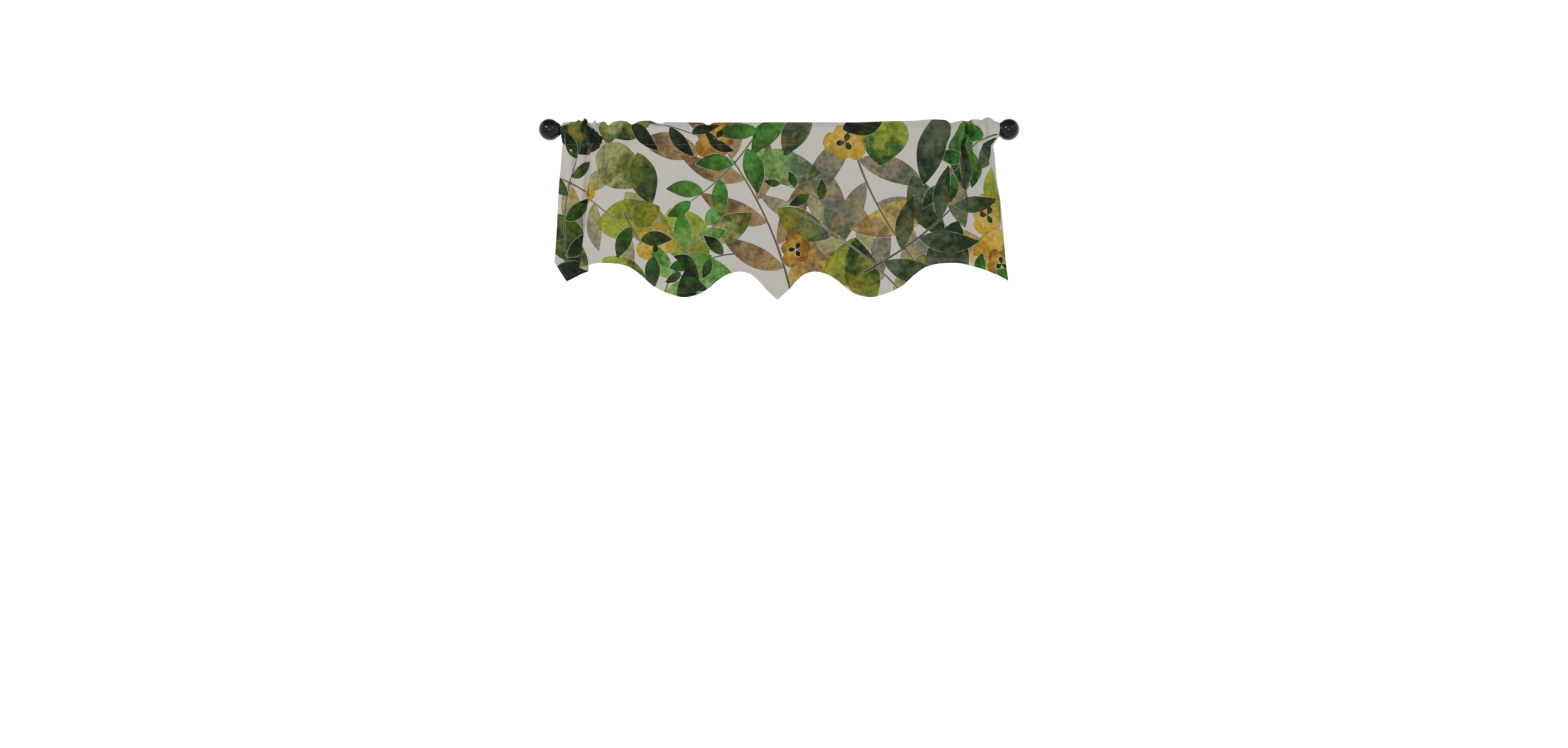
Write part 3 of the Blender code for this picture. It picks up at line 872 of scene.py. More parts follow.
BROADS = {
    Layer.WASH: (
        (-0.190, -0.060, 168, 0.150, 0.066, 16, Ink.TAN, Ink.BROWN),
        (0.090, -0.080, -66, 0.200, 0.086, 20, Ink.STONE, Ink.SAGE),
        (-0.380, -0.150, -40, 0.170, 0.070, 18, Ink.PALE_OLIVE, Ink.OLIVE),
        (0.440, -0.080, -80, 0.160, 0.066, 14, Ink.STONE, Ink.SAGE),
        (0.530, -0.350, 132, 0.150, 0.060, 26, Ink.GOLD, Ink.TAN),
    ),
    Layer.BROAD: (
        (-0.612, -0.005, -4, 0.170, 0.085, 18, Ink.FOREST, Ink.NIGHT),
        (-0.600, -0.200, -58, 0.150, 0.090, 18, Ink.MOSS, Ink.FOREST),
        (-0.500, -0.395, 92, 0.140, 0.090, -20, Ink.OLIVE, Ink.FOREST),
        (-0.610, -0.385, 40, 0.120, 0.070, 16, Ink.GREEN, Ink.NIGHT),
        (-0.485, -0.060, -26, 0.180, 0.110, -24, Ink.PALE_OLIVE, Ink.MOSS),
        (-0.300, 0.040, 196, 0.150, 0.080, -16, Ink.OLIVE, Ink.FOREST),
        (-0.455, -0.225, 14, 0.175, 0.098, 26, Ink.LIME, Ink.OLIVE),
        (-0.265, -0.190, -54, 0.165, 0.116, 18, Ink.LIME, Ink.OLIVE),
        (-0.430, -0.310, -34, 0.150, 0.086, 20, Ink.LIME, Ink.GREEN),
        (-0.110, -0.450, 118, 0.180, 0.116, -22, Ink.LIGHT_LEAF, Ink.LEAF),
        (-0.060, -0.060, -14, 0.175, 0.084, 26, Ink.LIGHT_LEAF, Ink.SAGE),
        (0.080, 0.050, -118, 0.130, 0.066, 20, Ink.SAGE, Ink.FOREST),
        (0.275, 0.050, -100, 0.140, 0.118, 10, Ink.LIME, Ink.GREEN),
        (0.385, -0.170, 198, 0.220, 0.080, -26, Ink.GOLD, Ink.TAN),
        (0.060, -0.450, 84, 0.190, 0.100, 14, Ink.GOLD, Ink.TAN),
        (0.290, -0.430, 62, 0.150, 0.080, 20, Ink.PALE_OLIVE, Ink.OLIVE),
        (0.400, -0.400, 74, 0.190, 0.104, -18, Ink.SAGE, Ink.FOREST),
        (0.500, 0.040, -98, 0.190, 0.096, 20, Ink.LEAF, Ink.FOREST),
        (0.600, -0.260, 200, 0.130, 0.070, 18, Ink.GOLD, Ink.OCHRE),
        (0.120, -0.390, 62, 0.150, 0.078, 16, Ink.LIME, Ink.OLIVE),
        (0.235, -0.425, 104, 0.170, 0.086, -18, Ink.OLIVE, Ink.FOREST),
        (-0.345, -0.055, -72, 0.130, 0.074, 14, Ink.MOSS, Ink.FOREST),
        (0.000, -0.190, -28, 0.150, 0.070, 20, Ink.OLIVE, Ink.SAGE),
        (-0.175, -0.265, 30, 0.130, 0.066, 18, Ink.PALE_OLIVE, Ink.MOSS),
        (0.330, -0.110, -60, 0.170, 0.078, 22, Ink.SAGE, Ink.FOREST),
        (-0.560, 0.050, -70, 0.100, 0.060, 14, Ink.OLIVE, Ink.FOREST),
        (-0.380, 0.045, -128, 0.100, 0.060, 18, Ink.PALE_OLIVE, Ink.MOSS),
        (0.560, -0.090, -86, 0.140, 0.064, 14, Ink.LIME, Ink.GREEN),
        (-0.580, 0.085, -10, 0.140, 0.070, 16, Ink.MOSS, Ink.FOREST),
        (-0.420, 0.100, -30, 0.130, 0.064, 14, Ink.OLIVE, Ink.GREEN),
        (-0.240, 0.045, 40, 0.120, 0.060, 16, Ink.LIME, Ink.OLIVE),
        (0.040, 0.095, -12, 0.150, 0.062, 18, Ink.SAGE, Ink.FOREST),
        (0.300, 0.060, 24, 0.130, 0.066, 16, Ink.OLIVE, Ink.GREEN),
        (0.460, 0.100, -20, 0.140, 0.060, 18, Ink.LEAF, Ink.FOREST),
    ),
    Layer.FRESH: (
        (0.240, 0.050, 118, 0.070, 0.034, 12, Ink.LEAF, Ink.GREEN),
        (0.020, 0.040, -128, 0.130, 0.056, 22, Ink.LEAF, Ink.GREEN),
        (-0.180, -0.400, 20, 0.120, 0.064, 20, Ink.LEAF, Ink.GREEN),
    ),
    Layer.DEEP: (
        (-0.130, 0.048, 58, 0.080, 0.034, 12, Ink.FOREST, Ink.NIGHT),
        (0.210, 0.090, -36, 0.070, 0.030, 12, Ink.FOREST, Ink.NIGHT),
        (0.260, 0.040, -158, 0.110, 0.074, 10, Ink.FOREST, Ink.NIGHT),
        (0.420, 0.045, -108, 0.190, 0.080, 20, Ink.SAGE, Ink.FOREST),
        (-0.240, -0.440, 76, 0.130, 0.050, 16, Ink.FOREST, Ink.NIGHT),
        (-0.590, -0.330, -18, 0.100, 0.062, 16, Ink.FOREST, Ink.NIGHT),
    ),
}
BLOSSOMS = (
    (-0.150, -0.020, 0.054, 12, Ink.OCHRE, Ink.RUST),
    (0.165, -0.030, 0.050, 40, Ink.GOLD, Ink.OCHRE),
    (-0.300, -0.275, 0.050, 0, Ink.GOLD, Ink.OCHRE),
    (0.530, -0.205, 0.048, 24, Ink.GOLD, Ink.OCHRE),
    (0.550, -0.325, 0.040, 60, Ink.OCHRE, Ink.RUST),
    (0.045, -0.290, 0.042, 30, Ink.OCHRE, Ink.RUST),
    (-0.495, -0.150, 0.030, 50, Ink.GOLD, Ink.OCHRE),
    (-0.050, 0.078, 0.040, 15, Ink.GOLD, Ink.OCHRE),
    (0.400, 0.080, 0.036, 44, Ink.OCHRE, Ink.RUST),
)


@dataclass
class LeafPrint:
    """A foliage print of sprigs, broad leaves and plain blossoms, laid out on the flat cloth."""

    reach: float = 0.016
    far: float = 20.0
    stem_steps: int = 24
    stem_least: float = 0.0010
    stem_share: float = 0.012
    stem_taper: float = 0.55
    broad_fullest: float = 0.46
    broad_point: float = 0.82
    petals: int = 5
    hearts: int = 3
    motifs: list[Motif] = field(default_factory=list)
    stems: list[tuple[Array, float, Ink]] = field(default_factory=list)

    def add_leaf(self, layer: Layer, shape: LeafShape, at: Place, inks: tuple[Ink, Ink]) -> None:
        """Adds a blade at (x, height, heading) in a pale and a deep ink."""
        self.motifs.append(Motif(layer, *shape.blade(*at), *inks))

    def add_sprig(self, layer: Layer, sprig: Sprig) -> None:
        """Adds a sprig's stem and its leaves, which shorten towards the tip.

        Args:
            layer: the layer of its leaves.
            sprig: the sprig.
        """
        shape = LeafShape(sprig.length, 0.0, sprig.bend)
        _, stem = shape.blade(sprig.x, sprig.height, sprig.heading, self.stem_steps)
        self.stems.append((stem, self.stem_least + self.stem_share * sprig.leaf, sprig.deep))
        for k in range(sprig.leaves):
            share = (k + 0.8) / (sprig.leaves + 0.2)
            place = stem[round(share * self.stem_steps)]
            side = 1 if k % 2 else -1
            last = k == sprig.leaves - 1
            spread = 0.0 if last else side * sprig.spread * (1.15 - 0.4 * share)
            heading = sprig.heading + sprig.bend * (share - 0.5) + spread
            uneven = 1.0 + 0.10 * math.sin(2.4 * k + sprig.x * 40)
            length = sprig.leaf * (1.12 - 0.38 * share) * uneven
            blade = LeafShape(length, length * sprig.slim, -side * 22, 0.44, 0.95)
            self.add_leaf(layer, blade, (*place, heading), (sprig.pale, sprig.deep))

    def add_blossom(self, blossom: Blossom) -> None:
        """Adds a blossom: rounded petals, then its dark heart.

        Args:
            blossom: the blossom.
        """
        for k in range(self.petals):
            heading = blossom.turn + 360 * k / self.petals
            reach = blossom.radius * (1.0 + 0.12 * math.sin(3 * k + blossom.turn))
            petal = LeafShape(reach, reach * 0.92, 8, 0.62, 0.62)
            at = (blossom.x, blossom.height, heading)
            self.add_leaf(Layer.BLOOM, petal, at, (blossom.pale, blossom.deep))
        heart = LeafShape(blossom.radius * 0.46, blossom.radius * 0.3, 10, 0.6, 0.7)
        for k in range(self.hearts):
            at = (blossom.x, blossom.height, blossom.turn + 35 + 118 * k)
            self.add_leaf(Layer.DEEP, heart, at, (Ink.FOREST, Ink.NIGHT))

    def lay_out(self) -> None:
        """Fills the list of motifs: broad leaves, then sprigs, then blossoms."""
        for layer, table in BROADS.items():
            for broad in (Broad(*row) for row in table):
                shape = LeafShape(
                    broad.length, broad.width, broad.bend, self.broad_fullest, self.broad_point
                )
                at = (broad.x, broad.height, broad.heading)
                self.add_leaf(layer, shape, at, (broad.pale, broad.deep))
        for layer, table in SPRIGS.items():
            for row in table:
                self.add_sprig(layer, Sprig(*row))
        for row in BLOSSOMS:
            self.add_blossom(Blossom(*row))

    def close_to(self, line: Array, x: Array, height: Array) -> Array:
        """Numbers of the points in a line's box, made larger by reach.

        Args:
            line: the line's corners.
            x: the points' places across the cloth.
            height: their heights on it.

        Returns:
            The numbers of the points inside the box.
        """
        low, high = line.min(axis=0) - self.reach, line.max(axis=0) + self.reach
        across = (x > low[0]) & (x < high[0])
        return np.flatnonzero(across & (height > low[1]) & (height < high[1]))

    def layer_values(self, layer: Layer, x: Array, height: Array) -> dict[str, Array]:
        """What the shader reads of one layer at points of the flat cloth.

        Args:
            layer: the layer.
            x: the points' places across the cloth.
            height: their heights on it.

        Returns:
            Its edge in millimetres, positive inside a motif, its pale ink and its
            deep ink, whose alpha is the share along the motif.
        """
        edge = np.full(x.shape, -self.far)
        pale = np.zeros((len(x), 4))
        deep = np.zeros((len(x), 4))
        for motif in (one for one in self.motifs if one.layer is layer):
            near = self.close_to(motif.outline, x, height)
            px, py = x[near], height[near]
            closed = np.concatenate([motif.outline, motif.outline[:1]])
            away = distance_to_line(px, py, closed)[0] * 1000
            inside = inside_outline(px, py, motif.outline)
            signed = np.where(inside, away, -away)
            taken = inside | (signed > edge[near])
            chosen = near[taken]
            share = distance_to_line(px[taken], py[taken], motif.spine)[1]
            edge[chosen] = signed[taken]
            pale[chosen, :3] = linear(motif.pale.value)
            deep[chosen, :3] = linear(motif.deep.value)
            deep[chosen, 3] = share
        return {"edge": edge, "pale": pale, "deep": deep}

    def stem_values(self, x: Array, height: Array) -> dict[str, Array]:
        """What the shader reads of the nearest stem at points of the flat cloth.

        Args:
            x: the points' places across the cloth.
            height: their heights on it.

        Returns:
            Signed distances from it in half widths, distances in millimetres, and its ink.
        """
        off = np.full(x.shape, self.far)
        near_by = np.full(x.shape, self.far)
        ink = np.zeros((len(x), 4))
        for line, half, shade in self.stems:
            near = self.close_to(line, x, height)
            away, share, sign = distance_to_line(x[near], height[near], line)
            taken = away * 1000 < near_by[near]
            chosen = near[taken]
            tapered = half * (1 - self.stem_taper * share)
            off[chosen] = (away * sign / tapered)[taken]
            near_by[chosen] = away[taken] * 1000
            ink[chosen, :3] = linear(shade.value)
        return {"off": off, "near": near_by, "ink": ink}

    def print_on(self, mesh: bpy.types.Mesh, x: Array, height: Array, reverse: Array) -> None:
        """Writes the print's attributes on a mesh.

        Args:
            mesh: the cloth's mesh.
            x: each vertex's place across the flat cloth.
            height: its height on the flat cloth.
            reverse: 1 where a vertex is on the cloth's wrong side.
        """
        self.lay_out()
        for layer in Layer:
            for part, values in self.layer_values(layer, x, height).items():
                self.write(mesh, f"{layer.name.lower()}_{part}", values)
        for part, values in self.stem_values(x, height).items():
            self.write(mesh, f"stem_{part}", values)
        self.write(mesh, "reverse", reverse)

    def write(self, mesh: bpy.types.Mesh, name: str, values: Array) -> None:
        """Writes one attribute: a number or a colour at each vertex.

        Args:
            mesh: the mesh.
            name: the attribute's name.
            values: the numbers, or the colours as rows of four.
        """
        kind, key = ("FLOAT", "value") if values.ndim == 1 else ("FLOAT_COLOR", "color")
        made = mesh.attributes.new(name, kind, "POINT")
        made.data.foreach_set(key, np.ascontiguousarray(values, np.float32).ravel())


# ------------------------------------------------------------------ the cloth
class ClothGrids(NamedTuple):
    """Points of the cloth's faces, each rows by columns by 3, and where each was cut."""

    front: Array
    back: Array
    pocket_back: Array
    front_inside: Array
    back_inside: Array
    flat: Array
    front_height: Array


@dataclass
class HungCloth:
    """The hung shape of the cloth: a pocket round the rod and a folded panel below it."""

    thickness: float = 0.0012
    half_width: float = 0.596
    centre_x: float = -0.004
    pocket_radius: float = 0.0106
    mouth_radius: float = 0.0170
    mouth_length: float = 0.014
    gather_length: float = 0.036
    gather_depth: float = 0.0032
    gathers: int = 4
    least_rise: float = 0.0004
    crease_height: float = 0.018
    seam_height: float = -0.037
    stitched: float = 0.0011
    meets_from: float = 0.8
    front_folds_by: float = 0.3
    back_flat_from: float = 0.4
    back_flat_to: float = 0.6
    panel_settles_by: float = 0.3
    seam_thins_by: float = 0.035
    gathers_end: float = 0.15
    crease_gain: float = 1.6
    pucker_depth: float = 0.00055
    pucker_reach: float = 0.022
    hem_pull: float = 0.00022
    inner_drop: float = 0.0026
    shoulder: float = 0.75
    shoulder_rows: tuple[float, float] = (0.25, 0.5)
    corner_height: float = -0.321
    eased_from: float = 0.30
    close_from: float = 0.43
    lap_lead: float = 0.6
    lap_lead_turn: float = 0.42
    pleat_ease: float = 0.28
    fine: float = 0.0005
    hem_depth: float = 0.009
    pocket_cut: float = 0.062

    def hem_height(self, flat: Array) -> Array:
        """Height of the hem.

        Args:
            flat: flat places out from the centre line.

        Returns:
            The height at each place.
        """
        places, heights = zip(*HEM)
        curve = smooth_table(places, heights, flat)
        past_tip = (flat - places[-1]) / (self.half_width - places[-1])
        corner = heights[-1] + (self.corner_height - heights[-1]) * past_tip
        return np.where(past_tip > 0, corner, curve)

    def fold_turn(self, fold: Fold, flat: Array, height: Array) -> Array:
        """How far one fold turns the cloth.

        Args:
            fold: the fold.
            flat: flat places out from the centre line.
            height: heights, rows by columns.

        Returns:
            The turn in radians.
        """
        strengths = (fold.hem, fold.middle, fold.upper, fold.seam, fold.pocket)
        most = np.radians(np.interp(height, FOLD_HEIGHTS[::-1], strengths))
        along = (flat - fold.flat) / fold.arc + 0.5
        inside = (along > 0) & (along < 1)
        if fold.kind is FoldKind.RUFFLE:
            return -most * np.sin(2 * math.pi * along) * inside
        if fold.kind is FoldKind.PLEAT:
            return most * ease(along / self.pleat_ease) * ease((1 - along) / self.pleat_ease)
        if fold.kind is FoldKind.CURL:
            return most * ease(along)
        lead = self.lap_lead
        rise = -self.lap_lead_turn * most * np.sin(math.pi * np.clip(along / lead, 0, 1))
        under = most * np.sin(math.pi * np.clip((along - lead) / (1 - lead), 0, 1))
        return rise + under

    def hang(self, side: Side, height: Array, in_pocket: bool) -> tuple[Array, Array, Array]:
        """Plan of one half's rows on the fine grid, out from the centre line.

        Args:
            side: the half.
            height: the height of every grid point, rows by columns.
            in_pocket: whether the folds come back to the rod's line.

        Returns:
            X, Y and the turn of the cloth from the window's plane.
        """
        sign = side.value
        flat = np.arange(height.shape[1]) * self.fine
        turn = sum(self.fold_turn(fold, flat, height) for fold in FOLDS if fold.side is side)
        out, back = np.zeros_like(height), np.zeros_like(height)
        middles = (turn[:, 1:] + turn[:, :-1]) / 2
        out[:, 1:] = np.cumsum(np.cos(middles), axis=1) * self.fine
        back[:, 1:] = np.cumsum(np.sin(middles), axis=1) * self.fine
        out += sign * self.centre_x
        wanted = np.interp(height[:, -1], *zip(*SIDES[side]))
        share = ease((flat - self.eased_from) / (self.half_width - self.eased_from))
        out += (wanted - out.max(axis=1))[:, None] * share
        if in_pocket:
            closing = ease((flat - self.close_from) / (self.half_width - self.close_from))
            back -= back[:, -1:] * closing
        return sign * out, back, sign * turn

    def whole_width(self, height: Array, in_pocket: bool) -> list[Array]:
        """Both halves of hang(), joined into rows from the left side to the right.

        Args:
            height: the height of every grid point, rows by columns.
            in_pocket: whether the folds come back to the rod's line.

        Returns:
            X, Y and the turn of the cloth from the window's plane.
        """
        middle = height.shape[1] // 2
        left = self.hang(Side.LEFT, height[:, middle::-1], in_pocket)
        right = self.hang(Side.RIGHT, height[:, middle:], in_pocket)
        return [
            np.concatenate([one[:, ::-1], other[:, 1:]], axis=1)
            for one, other in zip(left, right)
        ]

    def pocket_height(self, down: Array, crease: Array, seam: Array, shoulder: Array) -> Array:
        """Height of the pocket's rows.

        Args:
            down: places down the pocket, from 0 at its crease to 1 at its seam.
            crease: the crease's height at each column.
            seam: the seam's height at each column.
            shoulder: how far above and below the rod's axis the cloth leaves the rod.

        Returns:
            The height at each place and column.
        """
        upper, lower = self.shoulder_rows
        above = crease + (shoulder - crease) * down / upper
        beside = shoulder * (1 - 2 * (down - upper) / (lower - upper))
        below = -shoulder + (seam + shoulder) * (down - lower) / (1 - lower)
        return np.where(down < upper, above, np.where(down < lower, beside, below))

    def half_depth(self, height: Array, crease: Array, seam: Array, radius: Array) -> Array:
        """Half of the pocket's depth: round on the rod, straight to crease and seam.

        Args:
            height: heights in the pocket, rows by columns.
            crease: the crease's height at each column.
            seam: the seam's height at each column.
            radius: the cloth's radius about the rod at each column.

        Returns:
            Half of the depth at each height.
        """
        to_crease = (crease - height) * radius / np.sqrt(crease**2 - radius**2)
        to_seam = (height - seam) * radius / np.sqrt(seam**2 - radius**2)
        on_rod = np.sqrt(np.maximum(radius**2 - height**2, 0.0))
        depth = np.where(height > radius**2 / crease, to_crease, on_rod)
        depth = np.where(height < radius**2 / seam, to_seam, depth)
        return np.maximum(depth, 0.0)

    def inward(self, points: Array, flip: int) -> Array:
        """Directions from the pocket's cloth towards the rod.

        Args:
            points: a grid of the cloth's points.
            flip: 1 on the pocket's front, -1 on its back.

        Returns:
            A unit direction at each point.
        """
        down = np.gradient(points, axis=0)
        across = np.gradient(points, axis=1)
        normal = np.cross(across, down) * flip
        return normal / np.maximum(np.linalg.norm(normal, axis=2, keepdims=True), 1e-9)

    def clear_of_rod(self, points: Array, least: Array) -> Array:
        """Moves points that lie too near the rod's axis out to a radius.

        Args:
            points: the points, which are changed.
            least: the smallest radius.

        Returns:
            The same points.
        """
        radius = np.hypot(points[..., 1], points[..., 2])
        grow = np.maximum(least / np.maximum(radius, 1e-9), 1.0)
        points[..., 1] *= grow
        points[..., 2] *= grow
        return points

    def soft_creases(self, flat: Array, height: Array) -> Array:
        """How far the table's creases and the seams' puckers move the cloth back.

        Args:
            flat: flat places across the cloth.
            height: heights of the panel, rows by columns.

        Returns:
            The distance at each grid point.
        """
        moved = np.zeros(np.broadcast(flat, height).shape)
        for crease in CREASES:
            line = np.array([[crease.x, crease.height], [crease.to_x, crease.to_height]])
            away, share, _ = distance_to_line(flat + 0 * height, height + 0 * flat, line)
            fade = np.sin(math.pi * np.clip(share * 0.94 + 0.06, 0, 1)) ** 0.6
            moved += self.crease_gain * crease.depth * fade * np.exp(-((away / crease.half) ** 2))
        below = np.clip((self.seam_height - height) / self.pucker_reach, 0, None)
        ripple = np.sin(flat * 250 + 1.7 * np.sin(flat * 61)) + 0.6 * np.sin(flat * 411 + 2)
        moved += self.pucker_depth * ripple * np.exp(-below) * (height < self.seam_height)
        above_hem = (height - self.hem_height(np.abs(flat))) / self.hem_depth
        pull = np.sin(flat * 520 + 2.1 * np.sin(flat * 47)) * self.hem_pull
        return moved + pull * np.exp(-((above_hem - 1) ** 2) * 2)

    def grids(self, pocket_rows: Array, panel_rows: Array, columns: Array) -> ClothGrids:
        """Works out the cloth's faces.

        Args:
            pocket_rows: places down the pocket, from 0 at its crease to 1 at its seam.
            panel_rows: places down the panel, from 0 at the seam to 1 at the hem.
            columns: flat places across the cloth.

        Returns:
            The grids of points and the flat coordinates of the front.
        """
        count = round(self.half_width / self.fine)
        flat = np.arange(-count, count + 1) * self.fine
        v, w = pocket_rows[:, None], panel_rows[:, None]
        shoulder = self.pocket_radius * self.shoulder
        nominal = self.pocket_height(v, self.crease_height, self.seam_height, shoulder) + 0 * flat
        x, fold, _ = self.whole_width(nominal, True)
        end = SIDES[Side.RIGHT][-2].out
        mouth = ease(1 - (end - x[:1]) / self.mouth_length)
        radius = self.pocket_radius + (self.mouth_radius - self.pocket_radius) * mouth
        crease = smooth_table(*zip(*CREASE_LINE), x[:1])
        crease = np.maximum(crease, radius + self.least_rise)
        seam = np.interp(x[-1:], *zip(*SEAM_LINE))
        z = self.pocket_height(v, crease, seam, radius * self.shoulder)
        half = self.half_depth(z, crease, seam, radius)
        gathered = ease(1 - (end - x) / self.gather_length)
        gathered *= ease(v / self.gathers_end) * ease((1 - v) / self.gathers_end)
        waves = 0.5 + 0.5 * np.sin(self.gathers * math.tau * v + 5.0 * x / self.gather_length)
        half = half + self.gather_depth * gathered * waves
        half = np.maximum(half, self.stitched * ease((v - self.meets_from) / (1 - self.meets_from)))
        front_share = 0.5 + 0.5 * ease(v / self.front_folds_by)
        back_again = ease((v - self.back_flat_to) / (1 - self.back_flat_to))
        back_share = 0.5 - ease(v / self.back_flat_from) + 1.5 * back_again
        pocket_front = np.stack([x, fold * front_share - half, z], axis=2)
        pocket_back = np.stack([x, fold * back_share + half, z], axis=2)
        least = radius[0] - self.thickness
        front_inside = pocket_front + self.thickness * self.inward(pocket_front, 1)
        back_inside = pocket_back + self.thickness * self.inward(pocket_back, -1)
        front_inside = self.clear_of_rod(front_inside, least)
        back_inside = self.clear_of_rod(back_inside, least)
        pocket_front = self.clear_of_rod(pocket_front, least + self.thickness)
        pocket_back = self.clear_of_rod(pocket_back, least + self.thickness)
        for inside in (front_inside, back_inside):
            inside[0] = (pocket_front[0] + pocket_back[0]) / 2 - (0, 0, self.inner_drop)
            inside[-1] = (pocket_front[-1] + pocket_back[-1]) / 2 + (0, 0, self.thickness)
        front_inside[0] = back_inside[0] = self.clear_of_rod(front_inside[0], least)

        hem = self.hem_height(np.abs(flat))
        height = seam + (hem - seam) * w
        px, py, turn = self.whole_width(height, False)
        settle = 1 - ease(w / self.panel_settles_by)
        py = py + (fold[-1:] - py[:1]) * settle + self.soft_creases(flat[None, :], height)
        px = px + (x[-1:] - px[:1]) * settle
        panel = np.stack([px, py - self.stitched, height], axis=2)
        behind = np.stack([-np.sin(turn), np.cos(turn), 0 * turn], axis=2)
        near_side = self.half_width - np.abs(flat) < self.hem_depth
        near_hem = (height - hem < self.hem_depth) | near_side
        doubled = (2 * self.stitched - self.thickness) * (1 - ease(w / self.seam_thins_by))
        layers = self.thickness + doubled
        layers = np.maximum(layers, self.thickness * (1 + 0.7 * near_hem))
        panel_back = panel + behind * layers[..., None]
        panel_back[0] = pocket_back[-1]
        front = np.concatenate([pocket_front, panel[1:]])
        cut_height = np.concatenate([
            self.seam_height + (1 - v) * self.pocket_cut + 0 * flat,
            self.seam_height + (hem - self.seam_height) * w[1:],
        ])
        keep = np.round(columns / self.fine).astype(int) + count
        chosen = (front, panel_back, pocket_back, front_inside, back_inside)
        return ClothGrids(*(grid[:, keep] for grid in chosen), flat[keep], cut_height[:, keep])

    def cut_area(self) -> float:
        """Flat area of the cloth as it was cut: panel, pocket and its back."""
        flat = np.arange(0.0, self.half_width, self.fine)
        drops = self.seam_height - self.hem_height(flat)
        return float(2 * (drops + 2 * self.pocket_cut).sum() * self.fine)


class Band(Enum):
    """Bands of the baking map, each with its lowest and highest place."""

    FRONT = (0.005, 0.600)
    BACK = (0.610, 0.855)
    POCKET_BACK = (0.865, 0.925)
    FRONT_INSIDE = (0.930, 0.950)
    BACK_INSIDE = (0.955, 0.975)
    HEM_EDGE = (0.978, 0.981)
    LEFT_EDGE = (0.984, 0.991)
    RIGHT_EDGE = (0.992, 0.999)


@dataclass
class FaceList:
    """Faces of a mesh, with their corners' places on a map where nothing overlaps."""

    margin: float = 0.004
    faces: list[list[int]] = field(default_factory=list)
    places: list[tuple[float, float]] = field(default_factory=list)

    def face(self, numbers: Array, places: Array, flip: bool) -> None:
        """Adds one face.

        Args:
            numbers: its vertex numbers.
            places: its corners' places on the map.
            flip: whether it is turned over.
        """
        order = slice(None, None, -1 if flip else 1)
        self.faces.append(np.asarray(numbers)[order].tolist())
        self.places += np.asarray(places)[order].tolist()

    def grid(self, index: Array, band: Limits, across: Array, flip: bool = False) -> None:
        """Adds the quads of a grid of vertex numbers.

        Args:
            index: the grid, rows by columns.
            band: the first and last row's place on the map.
            across: the columns' places on the map, from 0 to 1.
            flip: whether the faces are turned over.
        """
        u = self.margin + (1 - 2 * self.margin) * across
        grids = (index, *np.meshgrid(u, np.linspace(*band, len(index))))
        order = slice(None, None, -1 if flip else 1)
        corners = []
        for one in grids:
            quads = np.stack([one[:-1, :-1], one[1:, :-1], one[1:, 1:], one[:-1, 1:]], axis=-1)
            corners.append(quads.reshape(-1, 4)[:, order])
        self.faces += corners[0].tolist()
        self.places += np.stack(corners[1:], axis=-1).reshape(-1, 2).tolist()

    def mesh(self, name: str, points: Array) -> bpy.types.Mesh:
        """Makes the mesh and its baking map.

        Args:
            name: the mesh's name.
            points: the vertices.

        Returns:
            The mesh.
        """
        mesh = bpy.data.meshes.new(name)
        mesh.from_pydata(points.tolist(), [], self.faces)
        bake = mesh.uv_layers.new(name="OFBake")
        bake.data.foreach_set("uv", np.array(self.places, np.float32).ravel())
        return mesh


